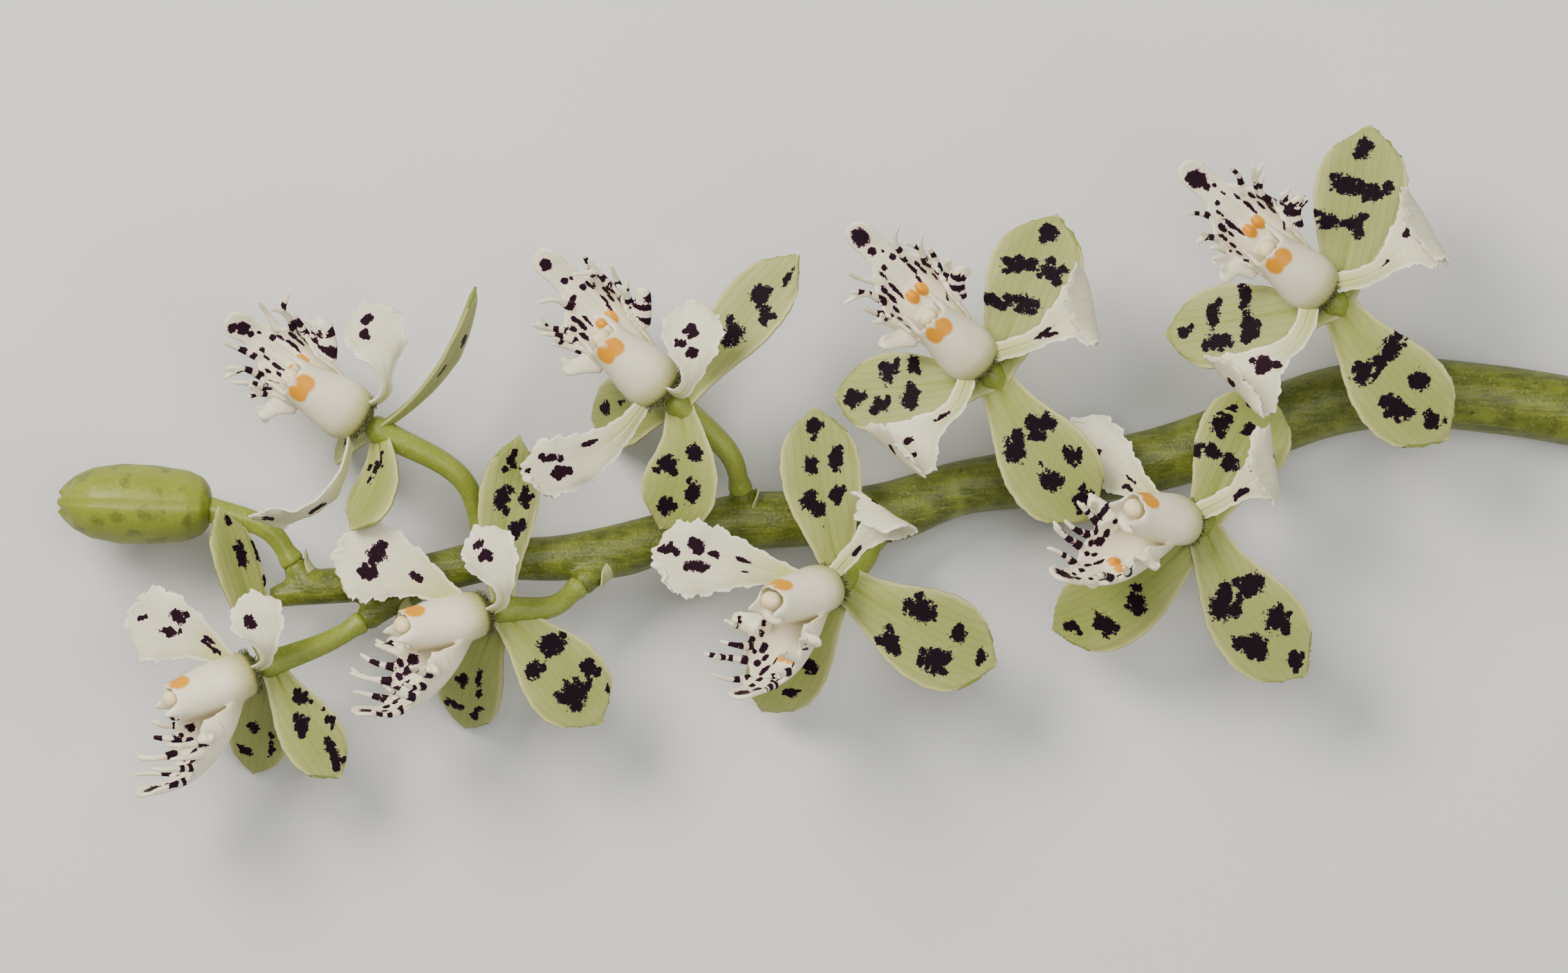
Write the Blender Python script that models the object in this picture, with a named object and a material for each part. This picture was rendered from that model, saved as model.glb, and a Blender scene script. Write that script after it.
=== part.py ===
"""A cut raceme of a fringe-lipped epidendrum orchid, lying on a surface.

Eight open flowers and one bud stand on a thick green rachis. Sizes are in millimetres and are turned
into metres as the meshes are made. Places are read in a field 200 mm wide and 124.1 mm high, x from its
left edge and y down from its top edge, with z up from the surface that the raceme lies on.
"""
from collections import namedtuple
from math import cos, pi, radians, sin

import bpy
import numpy as np

MM = 0.001
FIELD_WIDTH = 200.0
FIELD_HEIGHT = 124.1

LIP_THICKNESS = 0.8
HUB_RADIUS = 2.1
PEDICEL_RADII = (1.25, 1.45, 1.75)
GAP = 0.35

COLUMN_START = 2.6
COLUMN_LENGTH = 12.8
ANTHER_RADIUS = 1.3
# A ball's poles are cut flat at this share of the way from pole to pole.
POLE_CUT = 0.12
ANTHER_OFFSET = 0.7
RECESS_RADIUS = 1.78
RECESS_DEPTH = 1.3

# Outlines: share of the blade's length, half width as a share of the widest half width.
SEPAL_OUTLINE = (
    (0, 0.36), (0.2, 0.53), (0.4, 0.81), (0.55, 0.97), (0.7, 1.0), (0.82, 0.92), (0.92, 0.66), (1, 0.2),
)
FAN_OUTLINE = (
    (0, 0.24), (0.2, 0.28), (0.35, 0.42), (0.5, 0.64), (0.65, 0.88), (0.78, 1.0), (0.9, 0.93), (1, 0.5),
)
LADLE_OUTLINE = (
    (0, 0.22), (0.42, 0.24), (0.55, 0.46), (0.66, 0.82), (0.78, 1.0), (0.9, 0.93), (1, 0.5),
)

# A kind of blade: its outline, where it starts along the column's line from the flower's centre, its
# thickness, how many rows of faces it has, how far it is hollowed and how far its edges wave.
Kind = namedtuple("Kind", "outline start thickness rows cup wave")
SEPAL = Kind(SEPAL_OUTLINE, start=-0.5, thickness=0.9, rows=7, cup=0.012, wave=0.0)
PETAL = Kind(FAN_OUTLINE, start=3.7, thickness=0.75, rows=8, cup=0.0, wave=0.4)
BLADE_COLUMNS = 2
# Rows stand closer together towards the tip, and the corners are pulled back from it.
TIP_CROWDING = 1.15
CORNER_PULL = 0.10
# The ripple of an edge turns by this much along the blade and across it.
RIPPLE_ALONG = 9.0
RIPPLE_ACROSS = 2.5
# The stretch of a twisted blade in which it turns.
TWIST_FROM = 0.4
TWIST_TO = 0.7

# The lip is a scoop whose walls run on from the column's flanks. Its outline gives the share of its
# length and the half width over the curve of its section. Its centre line goes (along, below) the column
# and ends at the tip that each flower gives for itself. Its section is an arc with straight walls.
LIP_OUTLINE = (
    (0, 3.4), (0.12, 5.8), (0.24, 7.5), (0.42, 7.2), (0.53, 6.0), (0.62, 4.4), (0.7, 2.4), (0.86, 2.0),
    (1, 1.3),
)
LIP_ROUTE = ((4.3, -2.5), (6.8, -5.9), (10.4, -8.8), (15.8, -10.4))
FINGER_BOW = 0.3
LIP_BEND = ((0, 3.2), (0.24, 3.5), (0.5, 4.3), (1, 4.8))

# The fringe of the lip's walls: root and tip (along, out, below) the column, and half width.
FRINGE = (
    ((9.4, 3.6, -3.9), (12.6, 7.4, -3.4), 1.15),
    ((11.3, 4.1, -5.0), (15.2, 6.4, -3.4), 0.50),
    ((12.6, 4.2, -6.3), (17.0, 5.9, -4.6), 0.48),
    ((13.8, 3.7, -7.8), (18.6, 5.2, -6.2), 0.48),
    ((15.0, 2.2, -9.6), (20.0, 3.9, -8.2), 0.45),
)

Blade = namedtuple("Blade", "route width roll twist outline", defaults=(0.0, 0.0, None))
Flower = namedtuple("Flower", "centre foot via column dorsal lip sepals petals")

# Each flower: its centre, the foot of its pedicel on the rachis, a point that the pedicel passes, the
# column's tip, the turn of the column's back away from straight up, the end of its lip along and below
# the column, and its blades. Routes end at the tip and are (x, y, height over the centre). Roll turns a
# whole blade about its route, and twist only its outer half.
FLOWERS = (
    Flower(
        centre=(34.2, 84.8, 15.5), foot=(55.5, 73.0, 10.8), via=(44.5, 80.4, 12.6),
        column=(22.4, 89.6, 3.5), dorsal=70, lip=(21.4, -9.6),
        sepals=(
            Blade(((31.6, 75.6, 0.5), (28.0, 64.6, 1.0)), 8.2, 48),
            Blade(((38.8, 92.2, -1.5), (43.6, 99.2, -3.0)), 8.2, -14),
            Blade(((33.2, 92.4, -7.5), (32.0, 98.8, -15.0)), 7.6, 6),
        ),
        petals=(
            Blade(((25.5, 81.6, 2.5), (16.2, 79.2, 2.5)), 9.6),
            Blade(
                ((34.4, 83.9, 5.2), (34.3, 81.8, 7.2), (33.2, 78.6, 7.8), (32.2, 75.2, 7.2)),
                6.8, 50, 0, LADLE_OUTLINE,
            ),
        ),
    ),
    Flower(
        centre=(48.0, 54.6, 17.5), foot=(62.8, 71.4, 10.4), via=(59.8, 62.2, 14.5),
        column=(36.6, 47.6, 4.5), dorsal=-12, lip=(21.5, -9.6),
        sepals=(
            Blade(((48.6, 60.8, 1.5), (45.0, 67.6, 3.4)), 7.6, 34),
            Blade(((56.2, 47.6, 0.5), (60.8, 36.6, -1.0)), 8.0, 80),
            Blade(((45.0, 55.2, -8.0), (43.2, 56.0, -17.0)), 8.0, 20),
        ),
        petals=(
            Blade(((49.4, 50.2, 3.4), (49.4, 46.6, 5.2), (46.6, 38.6, 5.6)), 7.8, 66, -36, LADLE_OUTLINE),
            Blade(((40.8, 64.4, 1.5), (32.0, 65.8, 0.5)), 7.0, -74),
        ),
    ),
    Flower(
        centre=(63.7, 77.8, 16.5), foot=(79.0, 70.2, 9.1), via=(71.6, 76.8, 14.2),
        column=(51.8, 80.3, 5.0), dorsal=70, lip=(21.0, -9.4),
        sepals=(
            Blade(((64.6, 66.6, 0.6), (66.4, 55.6, 0.8)), 8.2, 22),
            Blade(((71.0, 85.4, -1.0), (76.8, 92.4, -3.0)), 11.0, -6),
            Blade(((60.4, 86.4, -7.5), (59.2, 93.0, -15.8)), 8.6, 4),
        ),
        petals=(
            Blade(((52.8, 73.2, 2.5), (42.4, 71.2, 2.0)), 10.4),
            Blade(
                ((64.2, 76.8, 5.2), (64.4, 74.6, 7.2), (63.0, 71.0, 8.0), (60.8, 67.0, 7.4)),
                7.0, 55, 0, LADLE_OUTLINE,
            ),
        ),
    ),
    Flower(
        centre=(86.2, 51.2, 19.5), foot=(95.4, 66.5, 7.6), via=(93.8, 59.4, 13.4),
        column=(75.4, 41.8, 5.0), dorsal=-14, lip=(23.5, -11.0),
        sepals=(
            Blade(((87.2, 59.8, -0.5), (84.2, 67.4, -4.0)), 9.8, 10),
            Blade(((94.0, 41.8, 0.0), (102.0, 32.6, 0.5)), 8.8, -20),
            Blade(((80.6, 52.4, -9.0), (75.4, 53.4, -19.0)), 9.0, 0),
        ),
        petals=(
            Blade(
                ((87.0, 50.2, 4.9), (88.2, 48.2, 7.2), (88.4, 43.6, 8.6), (88.4, 38.4, 7.6)),
                7.8, 72, 0, LADLE_OUTLINE,
            ),
            Blade(((75.6, 57.8, 2.5), (66.4, 60.0, 3.0)), 8.0, -26),
        ),
    ),
    Flower(
        centre=(107.2, 74.2, 16.5), foot=(113.4, 65.3, 6.3), via=(110.4, 71.2, 13.4),
        column=(98.2, 77.2, 9.5), dorsal=66, lip=(20.5, -10.4),
        sepals=(
            Blade(((105.0, 62.8, 0.5), (104.0, 51.8, 0.0)), 10.4, 7),
            Blade(((117.2, 80.4, -0.5), (127.2, 84.8, -2.0)), 12.4, 2),
            Blade(((101.2, 84.4, -5.5), (97.2, 90.8, -13.0)), 9.8, -7),
        ),
        petals=(
            Blade(((95.6, 72.2, 3.5), (83.0, 71.2, 3.5)), 9.8),
            Blade(
                ((109.2, 69.8, 4.0), (112.4, 66.2, 5.0), (112.4, 65.0, 8.0), (109.0, 66.2, 9.0)),
                9.6, 6, -14, LADLE_OUTLINE,
            ),
        ),
    ),
    Flower(
        centre=(126.2, 47.8, 20.5), foot=(134.0, 60.7, 5.1), via=(131.6, 54.6, 13.6),
        column=(117.6, 40.0, 7.5), dorsal=-10, lip=(23.5, -11.4),
        sepals=(
            Blade(((132.6, 58.0, 0.0), (139.4, 66.4, -1.6)), 12.2, 1),
            Blade(((130.8, 37.6, -1.5), (134.8, 27.4, -4.0)), 12.0, -12),
            Blade(((116.0, 50.0, -2.0), (106.4, 50.4, -6.0)), 10.6, 17),
        ),
        petals=(
            Blade(
                ((131.4, 43.6, 3.6), (136.0, 40.8, 2.8), (138.8, 39.3, 4.4), (135.4, 38.8, 9.4)),
                10.8, 0, -30, LADLE_OUTLINE,
            ),
            Blade(
                ((121.6, 51.9, 4.0), (118.2, 54.8, 3.2), (114.6, 58.0, 4.8), (113.4, 55.0, 9.4)),
                10.4, 0, 26, LADLE_OUTLINE,
            ),
        ),
    ),
    Flower(
        centre=(152.8, 66.8, 17.5), foot=(159.6, 54.8, 4.2), via=(157.4, 60.6, 11.6),
        column=(143.8, 65.4, 9.5), dorsal=62, lip=(20.5, -10.4),
        sepals=(
            Blade(((157.0, 58.6, 0.0), (162.0, 50.0, -2.5)), 12.0, 3),
            Blade(((158.6, 77.4, -0.5), (166.6, 86.2, -2.5)), 12.0, -3),
            Blade(((141.4, 77.2, -4.0), (134.2, 80.2, -9.5)), 11.2, -1),
        ),
        petals=(
            Blade(((144.2, 61.6, -0.6), (135.8, 53.8, -5.2)), 9.0, 14),
            Blade(
                ((156.4, 63.4, 3.8), (159.8, 61.2, 3.2), (162.0, 59.9, 4.8), (158.9, 59.8, 9.6)),
                10.6, 0, -30, LADLE_OUTLINE,
            ),
        ),
    ),
    Flower(
        centre=(169.7, 38.6, 21.5), foot=(178.0, 50.0, 4.1), via=(175.4, 44.6, 13.4),
        column=(160.6, 31.6, 7.0), dorsal=-10, lip=(23.5, -11.4),
        sepals=(
            Blade(((176.4, 47.8, -0.5), (184.4, 56.2, -2.5)), 12.4, 4),
            Blade(((172.8, 26.6, -1.8), (174.6, 16.0, -3.4)), 11.8, -6),
            Blade(((159.4, 41.2, -2.0), (148.4, 42.8, -6.0)), 10.8, 12),
        ),
        petals=(
            Blade(
                ((174.6, 35.0, 3.6), (178.6, 31.8, 2.8), (181.4, 29.3, 4.4), (178.2, 28.8, 9.4)),
                11.2, 0, -30, LADLE_OUTLINE,
            ),
            Blade(
                ((165.2, 43.0, 4.0), (161.6, 46.2, 3.2), (157.4, 49.6, 4.8), (156.6, 46.6, 9.4)),
                11.4, 0, 26, LADLE_OUTLINE,
            ),
        ),
    ),
)

# The rachis from its growing tip to the cut: centre (x, y, z) and radius.
RACHIS = (
    (34.8, 76.2, 12.4, 1.3), (39.6, 75.0, 12.2, 2.2), (47.6, 74.4, 11.5, 2.2), (55.5, 73.0, 10.8, 2.6),
    (62.8, 71.4, 10.4, 2.7), (71.0, 71.2, 9.8, 2.9), (79.0, 70.2, 9.1, 3.4), (87.4, 67.7, 8.3, 3.1),
    (95.4, 66.5, 7.6, 3.7), (105.0, 66.1, 6.9, 3.5), (113.4, 65.3, 6.3, 3.9), (122.0, 62.4, 5.8, 3.5),
    (134.0, 60.7, 5.1, 3.9), (146.0, 59.0, 4.5, 4.0), (159.6, 54.8, 4.1, 4.3), (170.0, 51.2, 4.1, 4.4),
    (178.0, 50.0, 4.1, 4.4), (190.0, 50.8, 4.1, 4.4), (204.0, 53.0, 4.1, 4.4), (218.0, 55.6, 4.1, 4.4),
)
RACHIS_SIDES = 10

STUB_RADII = (1.6, 1.75, 1.5)
STUB_REACH = 1.7

BUD_TIP = (7.9, 64.0, 10.5)
BUD_END = (27.0, 64.6, 11.0)
BUD_RADIUS = 5.1
BUD_KEEL = 0.05
BUD_STEM_FOOT = (39.6, 75.0, 12.2)
BUD_VIA = (35.4, 68.6, 12.6)
BUD_PROFILE = (
    (0, 0.30), (0.06, 0.62), (0.2, 0.88), (0.4, 1.0), (0.62, 0.97), (0.86, 0.84), (0.97, 0.62), (1, 0.3),
)

# The exact solver leaves loose scraps and touching edges where many thin blades or bracts meet.
THIN_SOLVER = "MANIFOLD"

GREEN = (0.22, 0.32, 0.03)
SEPAL_GREEN = (0.45, 0.50, 0.22)
WHITE = (0.80, 0.78, 0.66)
CREAM = (0.85, 0.68, 0.36)


def place(point):
    """A point of the field as a vector, x to the right, y away from its bottom edge and z up."""
    x, y, z = point
    return np.array((x - FIELD_WIDTH / 2, FIELD_HEIGHT / 2 - y, z), float)


def unit(vector):
    return vector / np.linalg.norm(vector)


def turned(vector, axis, degrees):
    """vector turned about a unit axis."""
    angle = radians(degrees)
    along = axis * (axis @ vector)
    return along + (vector - along) * cos(angle) + np.cross(axis, vector) * sin(angle)


def facing_up(axis, roll):
    """The direction square to axis that looks most upwards, turned about it by roll degrees."""
    up = np.array((0.0, 0.0, 1.0))
    return turned(unit(up - axis * (axis @ up)), axis, roll)


def curve_through(points, count):
    """count + 1 evenly spaced points on the smooth curve through points."""
    points = np.array(points, float)
    spans = np.linalg.norm(np.diff(points, axis=0), axis=1)
    knots = np.concatenate(([0.0], np.cumsum(spans)))
    if len(points) <= 3:
        powers = np.vander(knots / knots[-1], len(points))
        shares = np.linspace(0, 1, 200)
        dense = np.vander(shares, len(points)) @ np.linalg.solve(powers, points)
    else:
        slopes = np.gradient(points, knots, axis=0)
        places = np.linspace(0, knots[-1], 400)
        span = np.clip(np.searchsorted(knots, places, side="right") - 1, 0, len(spans) - 1)
        width = spans[span][:, None]
        t = (places[:, None] - knots[span][:, None]) / width
        dense = (
            (2 * t**3 - 3 * t**2 + 1) * points[span] + (t**3 - 2 * t**2 + t) * width * slopes[span]
            + (3 * t**2 - 2 * t**3) * points[span + 1] + (t**3 - t**2) * width * slopes[span + 1]
        )
    steps = np.linalg.norm(np.diff(dense, axis=0), axis=1)
    run = np.concatenate(([0.0], np.cumsum(steps)))
    even = np.linspace(0, run[-1], count + 1)
    return np.stack([np.interp(even, run, dense[:, k]) for k in range(3)], axis=1)


def frames_along(path, first_normal):
    """Tangent, normal and side at each point of path, with the normal carried along without twisting."""
    tangents = np.gradient(path, axis=0)
    tangents /= np.linalg.norm(tangents, axis=1)[:, None]
    normals = []
    normal = first_normal
    for tangent in tangents:
        normal = unit(normal - tangent * (tangent @ normal))
        normals.append(normal)
    normals = np.array(normals)
    return tangents, normals, np.cross(normals, tangents)


def mesh_object(name, points, triangles):
    mesh = bpy.data.meshes.new(name)
    mesh.from_pydata((np.asarray(points) * MM).tolist(), [], [list(map(int, t)) for t in triangles])
    mesh.validate()
    made = bpy.data.objects.new(name, mesh)
    bpy.context.scene.collection.objects.link(made)
    return made


def sheet_object(name, grid, thickness):
    """A closed blade round a grid of points, split into triangles alike on both faces."""
    along = np.gradient(grid, axis=0)
    across = np.gradient(grid, axis=1)
    normal = np.cross(along, across)
    normal /= np.linalg.norm(normal, axis=2)[:, :, None]
    rows, columns = grid.shape[:2]
    upper = (grid + normal * thickness / 2).reshape(-1, 3)
    lower = (grid - normal * thickness / 2).reshape(-1, 3)
    count = rows * columns
    triangles = []
    for i in range(rows - 1):
        for j in range(columns - 1):
            a = i * columns + j
            b, c, d = a + 1, a + columns, a + columns + 1
            for face in ((a, c, d), (a, d, b)):
                triangles.append(face)
                triangles.append(tuple(k + count for k in face[::-1]))
    rim = [j for j in range(columns)]
    rim += [i * columns + columns - 1 for i in range(1, rows)]
    rim += [(rows - 1) * columns + j for j in range(columns - 2, -1, -1)]
    rim += [i * columns for i in range(rows - 2, 0, -1)]
    for k, here in enumerate(rim):
        after = rim[(k + 1) % len(rim)]
        triangles.append((here, after, after + count))
        triangles.append((here, after + count, here + count))
    return mesh_object(name, np.concatenate((upper, lower)), triangles)


def blade_object(name, centre, axis, blade, kind):
    """A sepal or a petal: along its route to its tip, as wide as its outline says."""
    points = [centre + axis * kind.start, *(place(point) + (0, 0, centre[2]) for point in blade.route)]
    dense = 60
    path = curve_through(points, dense)
    start = unit(path[1] - path[0])
    tangents, normals, sides = frames_along(path, facing_up(start, blade.roll))
    shares = np.linspace(0, 1, dense + 1)
    for i, share in enumerate(shares):
        onset = min(max((share - TWIST_FROM) / (TWIST_TO - TWIST_FROM), 0), 1)
        normals[i] = turned(normals[i], tangents[i], blade.twist * onset * onset * (3 - 2 * onset))
        sides[i] = np.cross(normals[i], tangents[i])
    across = np.linspace(-1, 1, BLADE_COLUMNS + 1)
    grid = np.zeros((kind.rows + 1, BLADE_COLUMNS + 1, 3))
    marks = np.array(blade.outline or kind.outline)
    stations = 1 - (1 - np.linspace(0, 1, kind.rows + 1)) ** TIP_CROWDING
    for i, s in enumerate(stations):
        half = blade.width / 2 * np.interp(s, marks[:, 0], marks[:, 1])
        for j, t in enumerate(across):
            reach = s * (1 - CORNER_PULL * t * t * s * s)
            point, side, normal = (
                np.array([np.interp(reach, shares, values[:, k]) for k in range(3)])
                for values in (path, sides, normals)
            )
            ripple = kind.wave * sin(RIPPLE_ALONG * s + RIPPLE_ACROSS * t) * t * t * s
            grid[i, j] = point + side * t * half + normal * (kind.cup * (t * half) ** 2 + ripple)
    return sheet_object(name, grid, kind.thickness)


def tube_object(name, path, radii, sides, flat=0.0):
    """A closed tube along path. flat turns the section, in degrees."""
    path = np.array(path, float)
    start = unit(path[1] - path[0])
    tangents, normals, others = frames_along(path, facing_up(start, 0))
    points = []
    for centre, normal, other, radius in zip(path, normals, others, radii):
        for k in range(sides):
            angle = 2 * pi * k / sides + radians(flat)
            points.append(centre + radius * (normal * cos(angle) + other * sin(angle)))
    return ringed_object(name, points, len(path), sides)


def ringed_object(name, points, rings, sides):
    """A closed solid through rings of points, with flat ends fanned from their first point."""
    triangles = []
    for i in range(rings - 1):
        for k in range(sides):
            a = i * sides + k
            b = i * sides + (k + 1) % sides
            triangles += [(a, b, b + sides), (a, b + sides, a + sides)]
    last = (rings - 1) * sides
    for k in range(1, sides - 1):
        triangles.append((0, k + 1, k))
        triangles.append((last, last + k, last + k + 1))
    made = mesh_object(name, points, triangles)
    face_outwards(made)
    return made


def face_outwards(made):
    """Turns every face round if the closed mesh is inside out."""
    volume = 0.0
    for face in made.data.polygons:
        a, b, c = (made.data.vertices[k].co for k in face.vertices)
        volume += a.dot(b.cross(c))
    if volume < 0:
        made.data.flip_normals()


def ball_object(name, centre, axis, radius, length, rings=5, sides=8):
    """A round solid with its poles on axis."""
    normal = facing_up(axis, 0)
    other = np.cross(axis, normal)
    points = []
    for i in range(rings + 1):
        polar = pi * (POLE_CUT + (1 - 2 * POLE_CUT) * i / rings)
        for k in range(sides):
            angle = 2 * pi * k / sides
            points.append(
                centre - axis * length * cos(polar)
                + radius * sin(polar) * (normal * cos(angle) + other * sin(angle))
            )
    return ringed_object(name, points, rings + 1, sides)


def fused(name, pieces, colour, solver="EXACT"):
    """One solid from several that overlap, named and coloured."""
    whole = pieces[0]
    if len(pieces) > 1:
        others = bpy.data.collections.new(name + "_pieces")
        bpy.context.scene.collection.children.link(others)
        for piece in pieces[1:]:
            bpy.context.scene.collection.objects.unlink(piece)
            others.objects.link(piece)
        union = whole.modifiers.new("join", "BOOLEAN")
        union.operation = "UNION"
        union.operand_type = "COLLECTION"
        union.solver = solver
        union.collection = others
        graph = bpy.context.evaluated_depsgraph_get()
        joined = bpy.data.meshes.new_from_object(whole.evaluated_get(graph))
        whole.modifiers.clear()
        whole.data = joined
        for piece in list(others.objects):
            bpy.data.objects.remove(piece)
        bpy.data.collections.remove(others)
    whole.name = name
    whole.data.name = name
    whole.data.materials.clear()
    whole.data.materials.append(material(name, colour))
    for face in whole.data.polygons:
        face.use_smooth = True
    return whole


def material(name, colour):
    made = bpy.data.materials.new(name)
    made.use_nodes = True
    shader = made.node_tree.nodes["Principled BSDF"]
    shader.inputs["Base Color"].default_value = (*colour, 1)
    shader.inputs["Roughness"].default_value = 0.45
    return made


def column_axes(flower):
    """The column's direction, the way its back looks and the way to its side."""
    centre = place(flower.centre)
    tip = place(flower.column) + (0, 0, centre[2])
    axis = unit(tip - centre)
    back = facing_up(axis, flower.dorsal)
    return centre, axis, back, np.cross(back, axis)


def column_object(flower):
    """The stout column, with a round recess in its end for the anther cap."""
    centre, axis, back, side = column_axes(flower)
    sides = 10
    stations = (
        (COLUMN_START, 2.2, 2.0, 0.2), (COLUMN_START + 1.7, 3.4, 3.0, 0.1), (8.0, 3.3, 3.1, 0),
        (COLUMN_LENGTH, 2.6, 2.7, 0), (COLUMN_LENGTH, RECESS_RADIUS, RECESS_RADIUS, ANTHER_OFFSET),
        (COLUMN_LENGTH - RECESS_DEPTH, RECESS_RADIUS, RECESS_RADIUS, ANTHER_OFFSET),
    )
    points = []
    for along, wide, high, lift in stations:
        for k in range(sides):
            angle = 2 * pi * k / sides
            points.append(
                centre + axis * along + back * (high * cos(angle) + lift) + side * wide * sin(angle)
            )
    return ringed_object("column", points, len(stations), sides)


def lip_surface(flower):
    """A function from (share, out) on the lip to a point: out is measured over the curve of its section."""
    centre, axis, back, side = column_axes(flower)
    count = 60
    route = [centre + axis * a + back * b for a, b in (*LIP_ROUTE, flower.lip)]
    path = curve_through(route, count)
    tangents = np.gradient(path, axis=0)
    tangents /= np.linalg.norm(tangents, axis=1)[:, None]
    normals = np.cross(tangents, side)
    if normals[0] @ back < 0:
        normals = -normals
    shares = np.linspace(0, 1, count + 1)
    bends = np.array(LIP_BEND)

    def surface(share, out):
        point, normal = (
            np.array([np.interp(share, shares, values[:, k]) for k in range(3)]) for values in (path, normals)
        )
        bend = np.interp(share, bends[:, 0], bends[:, 1])
        turn = min(abs(out) / bend, pi / 2)
        wall = abs(out) - turn * bend
        return point + side * bend * np.copysign(sin(turn), out) + normal * (bend * (1 - cos(turn)) + wall)

    return surface


def lip_objects(flower):
    """The lip's blade and the fingers of its fringe, with their roots sunk in it."""
    centre, axis, back, side = column_axes(flower)
    surface = lip_surface(flower)
    across = np.linspace(-1, 1, 7)
    grid = np.array([[surface(share, half * t) for t in across] for share, half in LIP_OUTLINE])
    pieces = [sheet_object("lip", grid, LIP_THICKNESS)]
    for hand in (-1, 1):
        for root, tip, half in FRINGE:
            root, tip = (
                centre + axis * along + side * hand * out + back * below for along, out, below in (root, tip)
            )
            path = (root, (root + tip) / 2 + axis * FINGER_BOW, tip)
            pieces.append(tube_object("finger", path, (half * 1.25, half, half * 0.8), 3, 20))
    return pieces


def sepal_whorl(number, flower):
    """The green piece: pedicel, the cup on top of it and three sepals."""
    centre, axis, back, side = column_axes(flower)
    pieces = [
        ball_object("cup", centre, axis, HUB_RADIUS, HUB_RADIUS * 0.9, rings=4),
        pedicel_object(flower.foot, flower.via, centre),
    ]
    pieces += [blade_object("sepal", centre, axis, blade, SEPAL) for blade in flower.sepals]
    return fused(f"flower_{number}_sepals", pieces, SEPAL_GREEN, THIN_SOLVER)


def white_parts(number, flower):
    """The white piece: two petals, the column and the fringed lip that has grown together with it."""
    centre, axis, back, side = column_axes(flower)
    pieces = [column_object(flower), *lip_objects(flower)]
    pieces += [blade_object("petal", centre, axis, blade, PETAL) for blade in flower.petals]
    return fused(f"flower_{number}_petals_and_lip", pieces, WHITE, THIN_SOLVER)


def anther_cap(number, flower):
    """The loose cream cap that closes the column's end."""
    centre, axis, back, side = column_axes(flower)
    floor = COLUMN_LENGTH - RECESS_DEPTH + GAP
    middle = centre + axis * (floor + ANTHER_RADIUS) + back * ANTHER_OFFSET
    ball = ball_object("cap", middle, axis, ANTHER_RADIUS, ANTHER_RADIUS, rings=4)
    return fused(f"flower_{number}_anther_cap", [ball], CREAM)


def joint_of(foot, via):
    """Where a pedicel breaks off the rachis, and the direction in which it leaves."""
    foot, via = place(foot), place(via)
    direction = unit(via - foot)
    rings = sorted(RACHIS, key=lambda ring: np.linalg.norm(place(ring[:3]) - foot))
    along = unit(place(rings[1][:3]) - place(rings[0][:3]))
    slant = np.linalg.norm(np.cross(direction, along))
    return foot + direction * (rings[0][3] + STUB_REACH) / slant, direction


def pedicel_object(foot, via, end):
    """The thin stalk from its joint on the rachis to the end that it carries."""
    joint, direction = joint_of(foot, via)
    start = joint + direction * GAP
    path = curve_through((start, start + direction * 1.2, place(via), end), 5)
    path[1] = start + direction * np.linalg.norm(path[1] - start)
    radii = np.interp(np.linspace(0, 1, 6), (0, 0.4, 1), PEDICEL_RADII)
    return tube_object("pedicel", path, radii, 7)


def stub_objects(foot, via):
    """The short foot that the rachis holds out to a pedicel, and the scale on its lower side."""
    joint, direction = joint_of(foot, via)
    root = place(foot)
    path = (root, root + (joint - root) * 0.6, joint)
    low = np.array((1.0, 0.0, 0.0))
    low = unit(low - direction * (low @ direction))
    side = np.cross(direction, low)
    scale = []
    for along, out, half in ((0.3, 0.8, 1.4), (0.75, 1.5, 1.6), (0.96, 2.0, 0.5)):
        middle = root + (joint - root) * along + low * out
        scale.append([middle + side * half * t - low * 0.5 * t * t for t in (-1, 0, 1)])
    return [tube_object("stub", path, STUB_RADII, 7), sheet_object("bract", np.array(scale), 0.7)]


def rachis():
    """The thick stem of the raceme with the pedicels' feet and their bracts."""
    rings = [place(ring[:3]) for ring in RACHIS]
    radii = [ring[3] for ring in RACHIS]
    # Half a side's turn lays one flat side of the section downwards.
    pieces = [tube_object("rachis", rings, radii, RACHIS_SIDES, 180 / RACHIS_SIDES)]
    for flower in FLOWERS:
        pieces += stub_objects(flower.foot, flower.via)
    pieces += stub_objects(BUD_STEM_FOOT, BUD_VIA)
    return fused("rachis", pieces, GREEN, THIN_SOLVER)


def bud():
    """The closed bud on its own pedicel, with the sepals' keels as three low ridges."""
    tip, end = place(BUD_TIP), place(BUD_END)
    axis = unit(tip - end)
    normal = facing_up(axis, 0)
    other = np.cross(axis, normal)
    sides = 12
    points = []
    for share, wide in BUD_PROFILE:
        for k in range(sides):
            angle = 2 * pi * k / sides
            radius = BUD_RADIUS * wide * (1 + BUD_KEEL * cos(3 * angle))
            points.append(tip + (end - tip) * share + radius * (normal * cos(angle) + other * sin(angle)))
    body = ringed_object("bud", points, len(BUD_PROFILE), sides)
    return fused("bud", [body, pedicel_object(BUD_STEM_FOOT, BUD_VIA, end + axis * 1.5)], GREEN)


def lay_down(objects):
    """Presses flat what would reach below the surface, then puts the box's bottom centre on the origin."""
    points = np.concatenate([[vertex.co for vertex in made.data.vertices] for made in objects])
    low, high = points.min(axis=0), points.max(axis=0)
    middle = (low + high) / 2
    for made in objects:
        for vertex in made.data.vertices:
            vertex.co.z = max(vertex.co.z, 0.0)
            vertex.co.x -= middle[0]
            vertex.co.y -= middle[1]


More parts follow.
